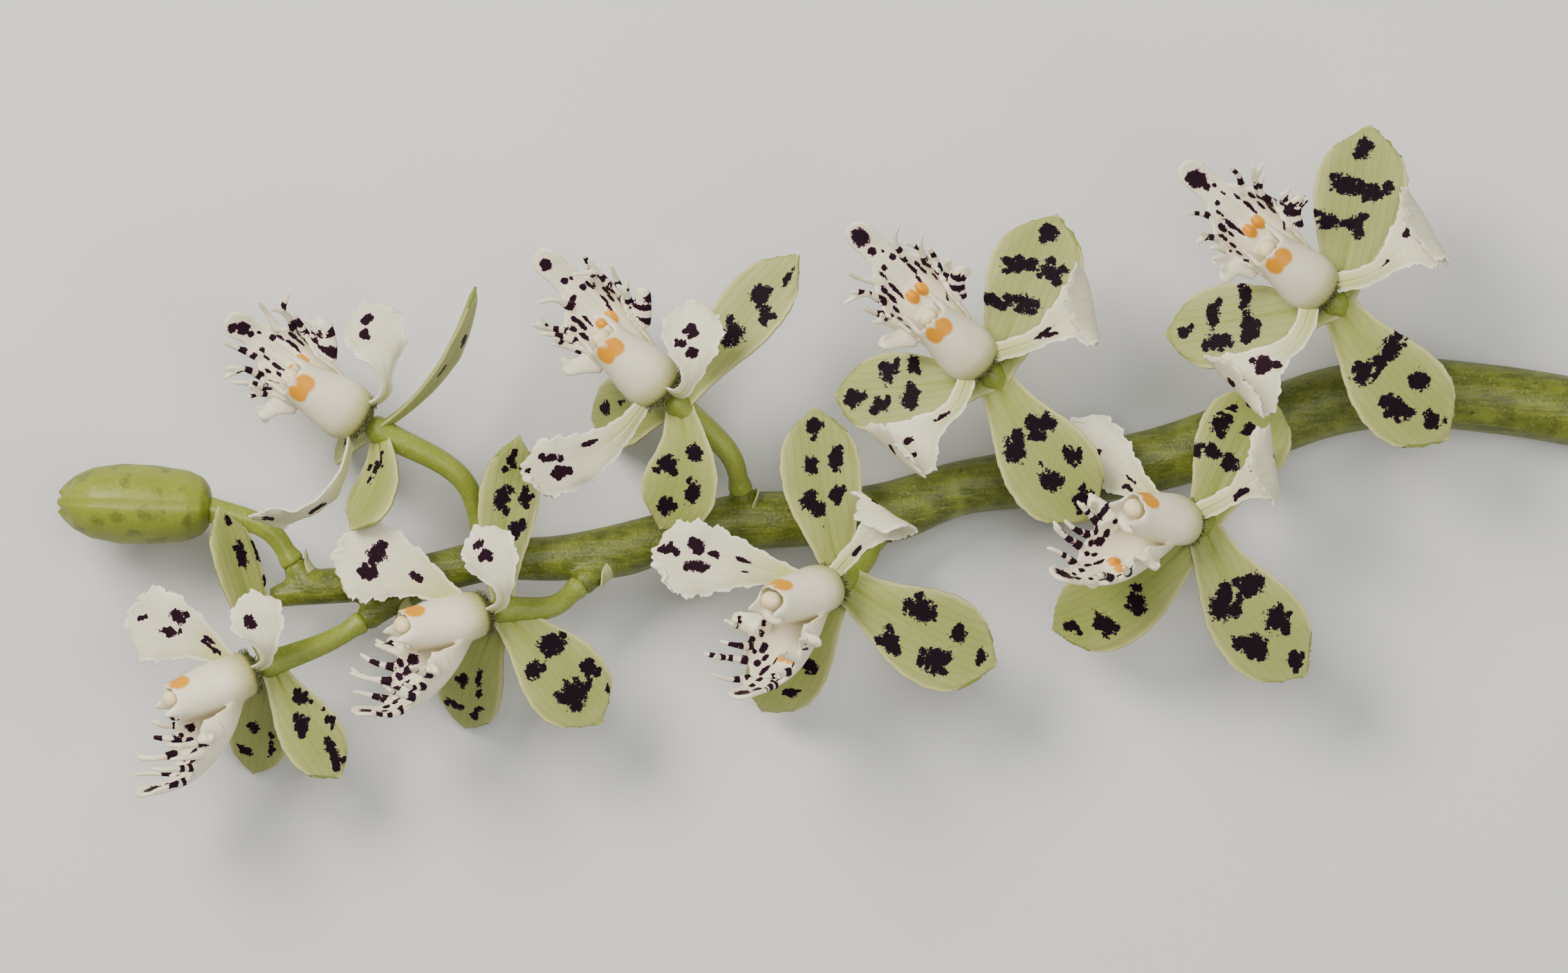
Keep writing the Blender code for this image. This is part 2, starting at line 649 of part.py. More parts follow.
def main():
    for old in list(bpy.data.objects):
        bpy.data.objects.remove(old)
    made = [rachis(), bud()]
    for number, flower in enumerate(FLOWERS, 1):
        made += [sepal_whorl(number, flower), white_parts(number, flower), anther_cap(number, flower)]
    lay_down(made)


main()
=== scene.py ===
"""The looks of a cut epidendrum spray that lies on a pale floor, seen from straight above.

Sizes are in millimetres and are turned into metres as the meshes are made. Places are read in a field
200 mm wide and 124.1 mm high, which is the picture's frame: x from its left edge, y down from its top
edge, z up from the floor. The frame's first anther cap says where that field lies in the row frame.
"""

from collections import namedtuple
from math import pi, radians

import bpy
import numpy as np
from mathutils.kdtree import KDTree
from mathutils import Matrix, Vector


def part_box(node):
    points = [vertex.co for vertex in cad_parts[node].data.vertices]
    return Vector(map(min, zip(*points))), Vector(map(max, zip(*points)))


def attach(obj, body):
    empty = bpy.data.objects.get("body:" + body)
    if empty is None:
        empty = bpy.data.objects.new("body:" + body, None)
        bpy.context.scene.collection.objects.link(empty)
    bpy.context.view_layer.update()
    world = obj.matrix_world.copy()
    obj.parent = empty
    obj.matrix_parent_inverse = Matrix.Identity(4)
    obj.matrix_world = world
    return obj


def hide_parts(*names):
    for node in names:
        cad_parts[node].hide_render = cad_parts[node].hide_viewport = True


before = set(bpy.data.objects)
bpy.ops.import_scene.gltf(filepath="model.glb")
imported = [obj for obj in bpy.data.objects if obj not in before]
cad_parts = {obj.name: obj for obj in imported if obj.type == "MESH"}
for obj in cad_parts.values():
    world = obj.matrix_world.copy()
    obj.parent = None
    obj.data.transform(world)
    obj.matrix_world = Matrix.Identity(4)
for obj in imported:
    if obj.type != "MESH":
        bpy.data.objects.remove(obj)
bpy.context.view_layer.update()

MM = 0.001
FIELD_WIDTH = 200.0
FIELD_HEIGHT = 124.1

GAP = 0.35
CUP_RADIUS = 1.75
PEDICEL_SHARES = (0, 0.03, 0.12, 0.45, 1)
PEDICEL_RADII = (1.5, 1.62, 1.28, 1.45, 1.75)
FOOT_SHARES = (0, 0.4, 0.75, 0.92, 1)
FOOT_RADII = (2.5, 2.1, 1.7, 1.72, 1.45)
STUB_REACH = 1.7

COLUMN_LENGTH = 12.8
ANTHER_RADIUS = 1.3
ANTHER_OFFSET = 0.7
RECESS_DEPTH = 1.3

LIP_VOXEL = 0.2
STEM_VOXEL = 0.45
PEDICEL_VOXEL = 0.28
BRACT_THICKNESS = 0.22

# Share of a blade's length, half width as a share of the widest half width.
SEPAL_OUTLINE = (
    (0, 0.36), (0.1, 0.43), (0.2, 0.53), (0.3, 0.66), (0.4, 0.81), (0.5, 0.93), (0.6, 0.99), (0.7, 1.0),
    (0.78, 0.96), (0.86, 0.87), (0.92, 0.75), (0.96, 0.58), (0.985, 0.36), (1, 0.10),
)
FAN_OUTLINE = (
    (0, 0.24), (0.2, 0.28), (0.35, 0.42), (0.5, 0.64), (0.65, 0.88), (0.78, 1.0), (0.88, 0.98), (0.94, 0.86),
    (0.98, 0.6), (1, 0.2),
)
LADLE_OUTLINE = (
    (0, 0.22), (0.42, 0.24), (0.55, 0.46), (0.66, 0.82), (0.78, 1.0), (0.88, 0.98), (0.94, 0.86),
    (0.98, 0.6), (1, 0.2),
)

# A kind of blade: its outline, where it starts along the column's line, its thickness inside and at its
# rim, its rows and columns, how far it is hollowed, how far its corners are pulled back, how far its margin
# waves and how ragged it is, and how deep its middle groove is.
Kind = namedtuple("Kind", "outline start thickness rim rows columns cup pull wave jag groove")
SEPAL = Kind(SEPAL_OUTLINE, -0.5, 0.85, 0.35, 56, 24, 0.012, 0.10, 0.10, 0.010, 0.30)
PETAL = Kind(FAN_OUTLINE, 3.7, 0.65, 0.28, 76, 30, 0.0, 0.08, 0.42, 0.06, 0.12)

# The lip is a scoop whose walls run on from the column's flanks: share of its length, half width over the
# curve of its section. Its centre line goes (along, below) the column to the tip that each flower gives.
# Its section is an arc of this radius, with straight walls.
LIP_OUTLINE = (
    (0, 3.4), (0.12, 5.8), (0.24, 7.5), (0.42, 7.2), (0.53, 6.0), (0.60, 4.6), (0.66, 3.1), (0.73, 2.0),
    (0.82, 1.8), (0.92, 1.95), (0.975, 1.5), (1, 0.8),
)
LIP_ROUTE = ((4.3, -2.5), (6.8, -5.9), (10.4, -8.8), (15.8, -10.4))
LIP_BEND = ((0, 3.2), (0.24, 3.5), (0.5, 4.3), (1, 4.8))
LIP_THICKNESS = 0.6
KEELS = (-0.95, 0, 0.95)

# Blotches inside the lip, the same on both sides: share, distance from the middle, half length and width.
LIP_PAIRS = (
    (0.47, 1.75, 0.9, 0.3), (0.54, 1.9, 1.1, 0.4), (0.62, 1.7, 0.8, 0.35), (0.68, 1.0, 0.5, 0.3),
    (0.50, 3.1, 1.0, 0.4), (0.57, 3.3, 0.7, 0.5), (0.44, 4.4, 1.1, 0.6), (0.53, 4.8, 0.6, 0.6),
    (0.36, 5.6, 0.9, 0.8), (0.28, 6.6, 0.7, 0.6), (0.46, 6.2, 0.6, 0.7),
)
LIP_TIP_MARKS = ((0.89, 0.1, 1.4, 1.2), (0.92, 0.6, 0.7, 0.7), (0.79, 0.3, 0.7, 0.6), (0.76, -0.6, 0.5, 0.4))

# The fringe of the lip's walls: root and tip (along, out, below) the column, half width, prongs.
Finger = namedtuple("Finger", "root tip half prongs")
FRINGE = (
    Finger((9.4, 3.6, -3.9), (12.4, 7.2, -3.4), 1.15, 3),
    Finger((11.3, 4.1, -5.0), (15.2, 6.4, -3.4), 0.50, 2),
    Finger((12.6, 4.2, -6.3), (17.0, 5.9, -4.6), 0.48, 1),
    Finger((13.8, 3.7, -7.8), (18.6, 5.2, -6.2), 0.48, 2),
    Finger((15.0, 2.2, -9.6), (20.0, 3.9, -8.2), 0.45, 1),
)
BROAD_FINGER = 1.0
FINGER_BOW = 0.3
SIDE_PRONG_ANGLES = (-32, 32)
BROAD_PRONG_ANGLES = (-42, -4, 38)

# The column's sections: along its line, half width, half height, lift towards its back, share of the hood.
COLUMN_SECTIONS = (
    (1.3, 1.7, 1.6, 0, 0), (1.7, 2.35, 2.2, 0, 0), (2.4, 2.9, 2.6, 0, 0), (3.2, 3.55, 2.9, 0.1, 0),
    (4.4, 3.85, 3.05, 0.1, 0), (6.0, 3.75, 3.1, 0, 0), (8.0, 3.4, 3.1, 0, 0), (10.0, 3.0, 2.95, 0, 0),
    (11.6, 2.75, 2.8, 0, 0), (12.5, 2.65, 2.7, 0, 0.35), (12.9, 2.5, 2.6, 0.05, 0.75),
    (13.0, 2.3, 2.4, 0.1, 1.0), (12.9, 2.08, 2.15, 0.3, 0.95), (12.5, 1.9, 1.95, 0.55, 0.5),
    (12.0, 1.84, 1.86, 0.65, 0.1), (11.5, 1.8, 1.8, ANTHER_OFFSET, 0), (11.3, 0.9, 0.9, ANTHER_OFFSET, 0),
)
COLUMN_FOOT = 1.1
RECESS_FLOOR = 11.3
RING_HAIRS = 150

# Each blotch gets this many ragged lobes. A point far from every blotch has this depth in one.
BLOTCH_LOBES = 5
CLEAR = -2.0
SCATTER_REACH = 0.8
BLOTCH = (0.009, 0.005, 0.008)
BLOTCH_RIM = (0.060, 0.022, 0.036)

# Blotches on each flower's sepals and petals: share along, share across (positive to the blade's side), half
# length and half width.
SEPAL_MARKS = (
    (
        ((0.91, -0.2, 0.9, 0.5), (0.68, -0.25, 1.9, 0.85), (0.7, -0.92, 1.7, 0.3), (0.5, -0.95, 0.7, 0.3)),
        ((0.33, 0.5, 1.2, 0.9), (0.49, -0.05, 1.3, 1.2), (0.62, 0.8, 0.9, 0.6), (0.5, 0.8, 0.35, 0.3),
         (0.8, 0.3, 2.2, 0.8)),
        ((0.54, -0.25, 1.2, 0.7), (0.78, -0.4, 1, 1), (0.7, 0.5, 1.8, 0.4), (0.58, 0.45, 0.8, 0.4)),
    ),
    (
        ((0.28, 0.15, 1.1, 0.3), (0.35, -0.5, 0.6, 0.35), (0.38, -0.15, 1.2, 0.3), (0.48, -0.35, 0.7, 0.3)),
        ((0.5, 0.3, 1, 0.8), (0.7, -0.3, 1, 0.9)),
        ((0.5, 0.3, 1, 0.9), (0.75, -0.2, 1.1, 1)),
    ),
    (
        ((0.63, 0.25, 1.6, 1.2), (0.67, -0.5, 1.6, 0.9), (0.46, -0.35, 1.3, 1.1), (0.86, 0.2, 1.3, 0.6),
         (0.84, -0.5, 0.5, 1.1)),
        ((0.38, 0.45, 1.6, 1.9), (0.43, -0.5, 1.2, 1.3), (0.67, 0.6, 1.3, 1.1), (0.72, -0.05, 2.1, 2.1),
         (0.87, 0.75, 0.9, 0.4)),
        ((0.57, -0.3, 1.1, 0.8), (0.5, 0.2, 2, 0.4), (0.62, 0.3, 1.2, 0.4), (0.8, 0.35, 1.6, 0.5),
         (0.8, -0.4, 0.7, 1.3)),
    ),
    (
        ((0.36, 0.4, 1.1, 1.2), (0.46, -0.45, 1.4, 1.4), (0.63, 0.4, 1.5, 1), (0.8, -0.2, 1.4, 1.1)),
        ((0.46, -0.1, 1.5, 1.7), (0.71, 0.05, 1.5, 1.6), (0.65, -0.5, 1, 1.1), (0.88, -0.3, 1.4, 0.5)),
        ((0.76, -0.2, 1.2, 1.1), (0.55, -0.3, 1.3, 0.3)),
    ),
    (
        ((0.89, 0.05, 1.1, 1.1), (0.82, 0.1, 0.45, 0.5), (0.67, 0.25, 1.4, 0.9), (0.71, -0.45, 1.8, 0.9),
         (0.47, 0.42, 1.4, 1.4), (0.49, -0.35, 1.4, 0.8), (0.32, 0.25, 0.3, 0.2)),
        ((0.47, 0.45, 2.1, 1.7), (0.41, -0.6, 1.5, 1.2), (0.72, 0.3, 1.2, 1.2), (0.67, -0.4, 1.9, 1.9),
         (0.89, 0.05, 0.8, 1.2)),
        ((0.52, 0.45, 1, 1.1), (0.74, 0.4, 1, 0.9), (0.8, -0.5, 1, 1)),
    ),
    (
        ((0.38, 0.55, 1.5, 1.7), (0.41, 0.15, 0.7, 0.9), (0.42, -0.5, 1.9, 1.5), (0.55, -0.15, 0.4, 0.4),
         (0.66, -0.2, 1.6, 1.2), (0.63, 0.5, 1.5, 1.3), (0.86, 0.1, 1.4, 1.4)),
        ((0.87, 0, 1.4, 1.3), (0.64, 0.5, 1.2, 1.6), (0.67, 0.15, 0.9, 1.2), (0.67, -0.35, 1.3, 1.6),
         (0.4, 0.7, 0.9, 1.8), (0.45, -0.1, 1.1, 1.9)),
        ((0.85, 0.1, 1.5, 1.1), (0.65, -0.5, 1.4, 1.5), (0.69, 0.3, 1.2, 1.1), (0.5, 0.15, 1.2, 1.9),
         (0.48, -0.7, 1, 1.3)),
    ),
    (
        ((0.64, 0.6, 1.3, 1.4), (0.78, 0.55, 0.6, 0.6), (0.85, 0.3, 0.5, 0.5), (0.42, 0.95, 0.9, 1),
         (0.45, 0.55, 0.8, 1.4), (0.44, 0, 1, 1.4), (0.7, 0, 0.9, 1)),
        ((0.41, 0.45, 1.6, 1.9), (0.43, 0, 0.6, 0.7), (0.43, -0.5, 2, 1.8), (0.66, 0.4, 1.8, 1.6),
         (0.69, -0.35, 2, 1.8), (0.88, 0.1, 1.3, 1.1)),
        ((0.5, 0.3, 1.3, 1.6), (0.7, 0.3, 1.2, 2), (0.87, 0.05, 1.2, 0.8), (0.85, 0.3, 0.5, 0.5)),
    ),
    (
        ((0.38, 0.55, 1.5, 2), (0.4, 0, 1, 1), (0.4, -0.5, 1.4, 1.4), (0.64, 0.45, 1.5, 1.3),
         (0.66, -0.3, 1.9, 1.4), (0.84, 0.1, 1.5, 1.2)),
        ((0.86, 0.1, 1.5, 1.1), (0.65, 0.4, 1.4, 1.7), (0.64, 0, 0.9, 1.2), (0.63, -0.3, 1.3, 1.2),
         (0.68, -0.6, 0.8, 1), (0.43, 0.7, 1.3, 1.5), (0.44, 0, 1.2, 1.5)),
        ((0.87, 0, 1.1, 0.8), (0.7, -0.35, 1.1, 1.6), (0.69, 0.35, 1.9, 1.2), (0.5, -0.7, 1, 1.5),
         (0.5, 0.1, 1.1, 2.2)),
    ),
)
PETAL_MARKS = (
    (
        ((0.87, -0.15, 0.6, 0.45), (0.63, -0.45, 1, 0.9), (0.65, 0.08, 1.3, 0.7), (0.36, -0.4, 0.9, 0.3),
         (0.33, -0.1, 1.4, 0.25), (0.26, -0.2, 0.8, 0.2)),
        ((0.76, 0.3, 0.9, 0.8),),
    ),
    (((0.88, 0.05, 0.6, 0.9), (0.79, 0.35, 0.7, 0.7)), ((0.6, 0, 1.2, 0.8), (0.88, -0.2, 0.8, 0.8))),
    (
        ((0.71, -0.25, 1.3, 1.3), (0.75, 0.25, 1.5, 1), (0.43, 0, 1.3, 0.5)),
        ((0.87, 0.25, 0.5, 0.8), (0.77, 0.15, 0.8, 0.9)),
    ),
    (
        ((0.79, 0, 1, 0.8), (0.7, 0.4, 0.5, 0.7), (0.65, 0, 0.7, 0.8)),
        ((0.81, -0.35, 1.4, 0.6), (0.77, 0.2, 1.2, 0.9), (0.55, -0.5, 1.3, 0.4), (0.96, 0, 0.5, 0.3)),
    ),
    (
        ((0.74, -0.35, 1.2, 1), (0.64, -0.2, 0.9, 0.4), (0.73, 0.18, 1.9, 0.8), (0.9, -0.25, 1.4, 0.6),
         (0.47, -0.2, 1.3, 0.25), (0.46, 0.3, 0.6, 0.12)),
        ((0.62, 0.1, 1.2, 0.6), (0.78, 0.3, 0.8, 0.8), (0.36, -0.3, 0.9, 0.3)),
    ),
    (
        ((0.42, 0.1, 1.6, 0.3), (0.45, -0.35, 1, 0.25), (0.64, 0.15, 0.8, 0.8), (0.72, 0.6, 0.8, 0.6)),
        ((0.4, -0.1, 1.2, 0.3), (0.64, -0.2, 0.7, 0.5), (0.7, 0.3, 0.8, 0.4), (0.85, 0, 0.6, 0.7)),
    ),
    (
        ((0.4, 0.4, 0.7, 0.3), (0.42, -0.1, 1, 0.2), (0.72, 0.2, 1, 1)),
        ((0.42, -0.3, 1.3, 0.4), (0.7, 0.3, 0.9, 0.5)),
    ),
    (
        ((0.42, 0.05, 0.7, 0.2), (0.62, 0.35, 0.7, 0.6), (0.7, 0.6, 0.8, 0.4)),
        ((0.55, -0.1, 1.3, 1.3), (0.85, 0, 0.6, 0.9)),
    ),
)

Blade = namedtuple("Blade", "route width roll twist outline", defaults=(0.0, 0.0, None))
Flower = namedtuple("Flower", "centre foot via column dorsal lip sepals petals")

# Each flower: its centre, the foot of its pedicel on the rachis, a point that the pedicel passes, the
# column's tip, the turn of the column's back away from straight up, the end of its lip along and below
# the column, and its blades. Routes end at the tip and are (x, y, height over the centre). Roll turns a
# whole blade about its route, and twist only its outer half.
FLOWERS = (
    Flower(
        centre=(34.2, 84.8, 15.5), foot=(55.5, 73.0, 10.8), via=(44.5, 80.4, 12.6),
        column=(22.4, 89.6, 3.5), dorsal=70, lip=(21.4, -9.6),
        sepals=(
            Blade(((31.6, 75.6, 0.5), (28.0, 64.6, 1.0)), 8.2, 48),
            Blade(((38.8, 92.2, -1.5), (43.6, 99.2, -3.0)), 8.2, -14),
            Blade(((33.2, 92.4, -7.5), (32.0, 98.8, -15.0)), 7.6, 6),
        ),
        petals=(
            Blade(((25.5, 81.6, 2.5), (16.2, 79.2, 2.5)), 9.6),
            Blade(
                ((34.4, 83.9, 5.2), (34.3, 81.8, 7.2), (33.2, 78.6, 7.8), (32.2, 75.2, 7.2)),
                6.8, 50, 0, LADLE_OUTLINE,
            ),
        ),
    ),
    Flower(
        centre=(48.0, 54.6, 17.5), foot=(62.8, 71.4, 10.4), via=(59.8, 62.2, 14.5),
        column=(36.6, 47.6, 4.5), dorsal=-12, lip=(21.5, -9.6),
        sepals=(
            Blade(((48.6, 60.8, 1.5), (45.0, 67.6, 3.4)), 7.6, 34),
            Blade(((56.2, 47.6, 0.5), (60.8, 36.6, -1.0)), 8.0, 80),
            Blade(((45.0, 55.2, -8.0), (43.2, 56.0, -17.0)), 8.0, 20),
        ),
        petals=(
            Blade(((49.4, 50.2, 3.4), (49.4, 46.6, 5.2), (46.6, 38.6, 5.6)), 7.8, 66, -36, LADLE_OUTLINE),
            Blade(((40.8, 64.4, 1.5), (32.0, 65.8, 0.5)), 7.0, -74),
        ),
    ),
    Flower(
        centre=(63.7, 77.8, 16.5), foot=(79.0, 70.2, 9.1), via=(71.6, 76.8, 14.2),
        column=(51.8, 80.3, 5.0), dorsal=70, lip=(21.0, -9.4),
        sepals=(
            Blade(((64.6, 66.6, 0.6), (66.4, 55.6, 0.8)), 8.2, 22),
            Blade(((71.0, 85.4, -1.0), (76.8, 92.4, -3.0)), 11.0, -6),
            Blade(((60.4, 86.4, -7.5), (59.2, 93.0, -15.8)), 8.6, 4),
        ),
        petals=(
            Blade(((52.8, 73.2, 2.5), (42.4, 71.2, 2.0)), 10.4),
            Blade(
                ((64.2, 76.8, 5.2), (64.4, 74.6, 7.2), (63.0, 71.0, 8.0), (60.8, 67.0, 7.4)),
                7.0, 55, 0, LADLE_OUTLINE,
            ),
        ),
    ),
    Flower(
        centre=(86.2, 51.2, 19.5), foot=(95.4, 66.5, 7.6), via=(93.8, 59.4, 13.4),
        column=(75.4, 41.8, 5.0), dorsal=-14, lip=(23.5, -11.0),
        sepals=(
            Blade(((87.2, 59.8, -0.5), (84.2, 67.4, -4.0)), 9.8, 10),
            Blade(((94.0, 41.8, 0.0), (102.0, 32.6, 0.5)), 8.8, -20),
            Blade(((80.6, 52.4, -9.0), (75.4, 53.4, -19.0)), 9.0, 0),
        ),
        petals=(
            Blade(
                ((87.0, 50.2, 4.9), (88.2, 48.2, 7.2), (88.4, 43.6, 8.6), (88.4, 38.4, 7.6)),
                7.8, 72, 0, LADLE_OUTLINE,
            ),
            Blade(((75.6, 57.8, 2.5), (66.4, 60.0, 3.0)), 8.0, -26),
        ),
    ),
    Flower(
        centre=(107.2, 74.2, 16.5), foot=(113.4, 65.3, 6.3), via=(110.4, 71.2, 13.4),
        column=(98.2, 77.2, 9.5), dorsal=66, lip=(20.5, -10.4),
        sepals=(
            Blade(((105.0, 62.8, 0.5), (104.0, 51.8, 0.0)), 10.4, 7),
            Blade(((117.2, 80.4, -0.5), (127.2, 84.8, -2.0)), 12.4, 2),
            Blade(((101.2, 84.4, -5.5), (97.2, 90.8, -13.0)), 9.8, -7),
        ),
        petals=(
            Blade(((95.6, 72.2, 3.5), (83.0, 71.2, 3.5)), 9.8),
            Blade(
                ((109.2, 69.8, 4.0), (112.4, 66.2, 5.0), (112.4, 65.0, 8.0), (109.0, 66.2, 9.0)),
                9.6, 6, -14, LADLE_OUTLINE,
            ),
        ),
    ),
    Flower(
        centre=(126.2, 47.8, 20.5), foot=(134.0, 60.7, 5.1), via=(131.6, 54.6, 13.6),
        column=(117.6, 40.0, 7.5), dorsal=-10, lip=(23.5, -11.4),
        sepals=(
            Blade(((132.6, 58.0, 0.0), (139.4, 66.4, -1.6)), 12.2, 1),
            Blade(((130.8, 37.6, -1.5), (134.8, 27.4, -4.0)), 12.0, -12),
            Blade(((116.0, 50.0, -2.0), (106.4, 50.4, -6.0)), 10.6, 17),
        ),
        petals=(
            Blade(
                ((131.4, 43.6, 3.6), (136.0, 40.8, 2.8), (138.8, 39.3, 4.4), (135.4, 38.8, 9.4)),
                10.8, 0, -30, LADLE_OUTLINE,
            ),
            Blade(
                ((121.6, 51.9, 4.0), (118.2, 54.8, 3.2), (114.6, 58.0, 4.8), (113.4, 55.0, 9.4)),
                10.4, 0, 26, LADLE_OUTLINE,
            ),
        ),
    ),
    Flower(
        centre=(152.8, 66.8, 17.5), foot=(159.6, 54.8, 4.2), via=(157.4, 60.6, 11.6),
        column=(143.8, 65.4, 9.5), dorsal=62, lip=(20.5, -10.4),
        sepals=(
            Blade(((157.0, 58.6, 0.0), (162.0, 50.0, -2.5)), 12.0, 3),
            Blade(((158.6, 77.4, -0.5), (166.6, 86.2, -2.5)), 12.0, -3),
            Blade(((141.4, 77.2, -4.0), (134.2, 80.2, -9.5)), 11.2, -1),
        ),
        petals=(
            Blade(((144.2, 61.6, -0.6), (135.8, 53.8, -5.2)), 9.0, 14),
            Blade(
                ((156.4, 63.4, 3.8), (159.8, 61.2, 3.2), (162.0, 59.9, 4.8), (158.9, 59.8, 9.6)),
                10.6, 0, -30, LADLE_OUTLINE,
            ),
        ),
    ),
    Flower(
        centre=(169.7, 38.6, 21.5), foot=(178.0, 50.0, 4.1), via=(175.4, 44.6, 13.4),
        column=(160.6, 31.6, 7.0), dorsal=-10, lip=(23.5, -11.4),
        sepals=(
            Blade(((176.4, 47.8, -0.5), (184.4, 56.2, -2.5)), 12.4, 4),
            Blade(((172.8, 26.6, -1.8), (174.6, 16.0, -3.4)), 11.8, -6),
            Blade(((159.4, 41.2, -2.0), (148.4, 42.8, -6.0)), 10.8, 12),
        ),
        petals=(
            Blade(
                ((174.6, 35.0, 3.6), (178.6, 31.8, 2.8), (181.4, 29.3, 4.4), (178.2, 28.8, 9.4)),
                11.2, 0, -30, LADLE_OUTLINE,
            ),
            Blade(
                ((165.2, 43.0, 4.0), (161.6, 46.2, 3.2), (157.4, 49.6, 4.8), (156.6, 46.6, 9.4)),
                11.4, 0, 26, LADLE_OUTLINE,
            ),
        ),
    ),
)

# The rachis from its growing tip to the cut: centre (x, y, z) and radius.
RACHIS = (
    (34.8, 76.2, 12.4, 1.3), (39.6, 75.0, 12.2, 2.2), (47.6, 74.4, 11.5, 2.2), (55.5, 73.0, 10.8, 2.6),
    (62.8, 71.4, 10.4, 2.7), (71.0, 71.2, 9.8, 2.9), (79.0, 70.2, 9.1, 3.4), (87.4, 67.7, 8.3, 3.1),
    (95.4, 66.5, 7.6, 3.7), (105.0, 66.1, 6.9, 3.5), (113.4, 65.3, 6.3, 3.9), (122.0, 62.4, 5.8, 3.5),
    (134.0, 60.7, 5.1, 3.9), (146.0, 59.0, 4.5, 4.0), (159.6, 54.8, 4.1, 4.3), (170.0, 51.2, 4.1, 4.4),
    (178.0, 50.0, 4.1, 4.4), (190.0, 50.8, 4.1, 4.4), (204.0, 53.0, 4.1, 4.4), (218.0, 55.6, 4.1, 4.4),
)

BUD_TIP = (7.9, 64.0, 10.5)
BUD_END = (27.0, 64.6, 11.0)
BUD_RADIUS = 5.1
BUD_STEM_FOOT = (39.6, 75.0, 12.2)
BUD_VIA = (35.4, 68.6, 12.6)
BUD_PROFILE = (
    (0, 0.26), (0.03, 0.46), (0.08, 0.66), (0.2, 0.88), (0.4, 1.0), (0.62, 0.98), (0.84, 0.88), (0.94, 0.72),
    (0.985, 0.5), (1, 0.3),
)

Shape = namedtuple("Shape", "points faces fields")


def unit(vector):
    return vector / np.linalg.norm(vector)


def smooth_step(value, low, high):
    share = np.clip((np.asarray(value, float) - low) / (high - low), 0, 1)
    return share * share * (3 - 2 * share)


def bump(value, middle, spread):
    """1 at the middle, falling off to either side."""
    return np.exp(-(((np.asarray(value, float) - middle) / spread) ** 2))


def in_field(point):
    """A point of the field, before it is moved into the row frame."""
    x, y, z = point
    return np.array((x - FIELD_WIDTH / 2, FIELD_HEIGHT / 2 - y, z), float)


def turned(vector, axis, degrees):
    """vector turned about a unit axis."""
    angle = radians(degrees)
    along = axis * (axis @ vector)
    return along + (vector - along) * np.cos(angle) + np.cross(axis, vector) * np.sin(angle)


def facing_up(axis, roll):
    """The direction square to axis that looks most upwards, turned about it by roll degrees."""
    up = np.array((0.0, 0.0, 1.0))
    return turned(unit(up - axis * (axis @ up)), axis, roll)


def column_axes(flower, locate=in_field):
    """A flower's centre, its column's direction, the way its back looks and the way to its side."""
    centre = locate(flower.centre)
    tip = locate(flower.column) + (0, 0, flower.centre[2])
    axis = unit(tip - centre)
    back = facing_up(axis, flower.dorsal)
    return centre, axis, back, np.cross(back, axis)


def cap_centre(flower, locate=in_field):
    centre, axis, back, side = column_axes(flower, locate)
    return centre + axis * (COLUMN_LENGTH - RECESS_DEPTH + GAP + ANTHER_RADIUS) + back * ANTHER_OFFSET


def field_shift():
    """How far the field's middle lies from the row frame's origin, from where the first anther cap is."""
    low, high = (np.array(corner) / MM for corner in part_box("flower_1_anther_cap"))
    shift = (low + high) / 2 - cap_centre(FLOWERS[0])
    shift[2] = 0
    return shift


SHIFT = field_shift()

# The floor and the camera in metres. Each lamp: its name, place and size in millimetres, power and colour.
FLOOR_REACH = 3.0
FLOOR_Z = -0.0004
CAMERA_Z = 2.010
LAMPS = (
    ("key", (-420, 380, 620), 380, 9.5, (1.0, 0.95, 0.86)),
    ("fill", (520, -260, 520), 500, 2.2, (1.0, 0.97, 0.92)),
    ("top", (60, 120, 900), 500, 4.0, (1.0, 1.0, 1.0)),
)


def place(point):
    """A point of the field in the row frame, in millimetres."""
    return in_field(point) + SHIFT


def curve_through(points, count):
    """count + 1 evenly spaced points on the smooth curve through points."""
    points = np.array(points, float)
    spans = np.linalg.norm(np.diff(points, axis=0), axis=1)
    knots = np.concatenate(([0.0], np.cumsum(spans)))
    if len(points) <= 3:
        powers = np.vander(knots / knots[-1], len(points))
        dense = np.vander(np.linspace(0, 1, 400), len(points)) @ np.linalg.solve(powers, points)
    else:
        slopes = np.gradient(points, knots, axis=0)
        places = np.linspace(0, knots[-1], 800)
        span = np.clip(np.searchsorted(knots, places, side="right") - 1, 0, len(spans) - 1)
        width = spans[span][:, None]
        t = (places[:, None] - knots[span][:, None]) / width
        dense = (
            (2 * t**3 - 3 * t**2 + 1) * points[span] + (t**3 - 2 * t**2 + t) * width * slopes[span]
            + (3 * t**2 - 2 * t**3) * points[span + 1] + (t**3 - t**2) * width * slopes[span + 1]
        )
    steps = np.linalg.norm(np.diff(dense, axis=0), axis=1)
    run = np.concatenate(([0.0], np.cumsum(steps)))
    even = np.linspace(0, run[-1], count + 1)
    return np.stack([np.interp(even, run, dense[:, k]) for k in range(points.shape[1])], axis=1)


def frames_along(path, first_normal):
    """Tangent, normal and side at each point of path, with the normal carried along without twisting."""
    tangents = np.gradient(path, axis=0)
    tangents /= np.linalg.norm(tangents, axis=1)[:, None]
    normals = []
    normal = first_normal
    for tangent in tangents:
        normal = unit(normal - tangent * (tangent @ normal))
        normals.append(normal)
    normals = np.array(normals)
    return tangents, normals, np.cross(normals, tangents)


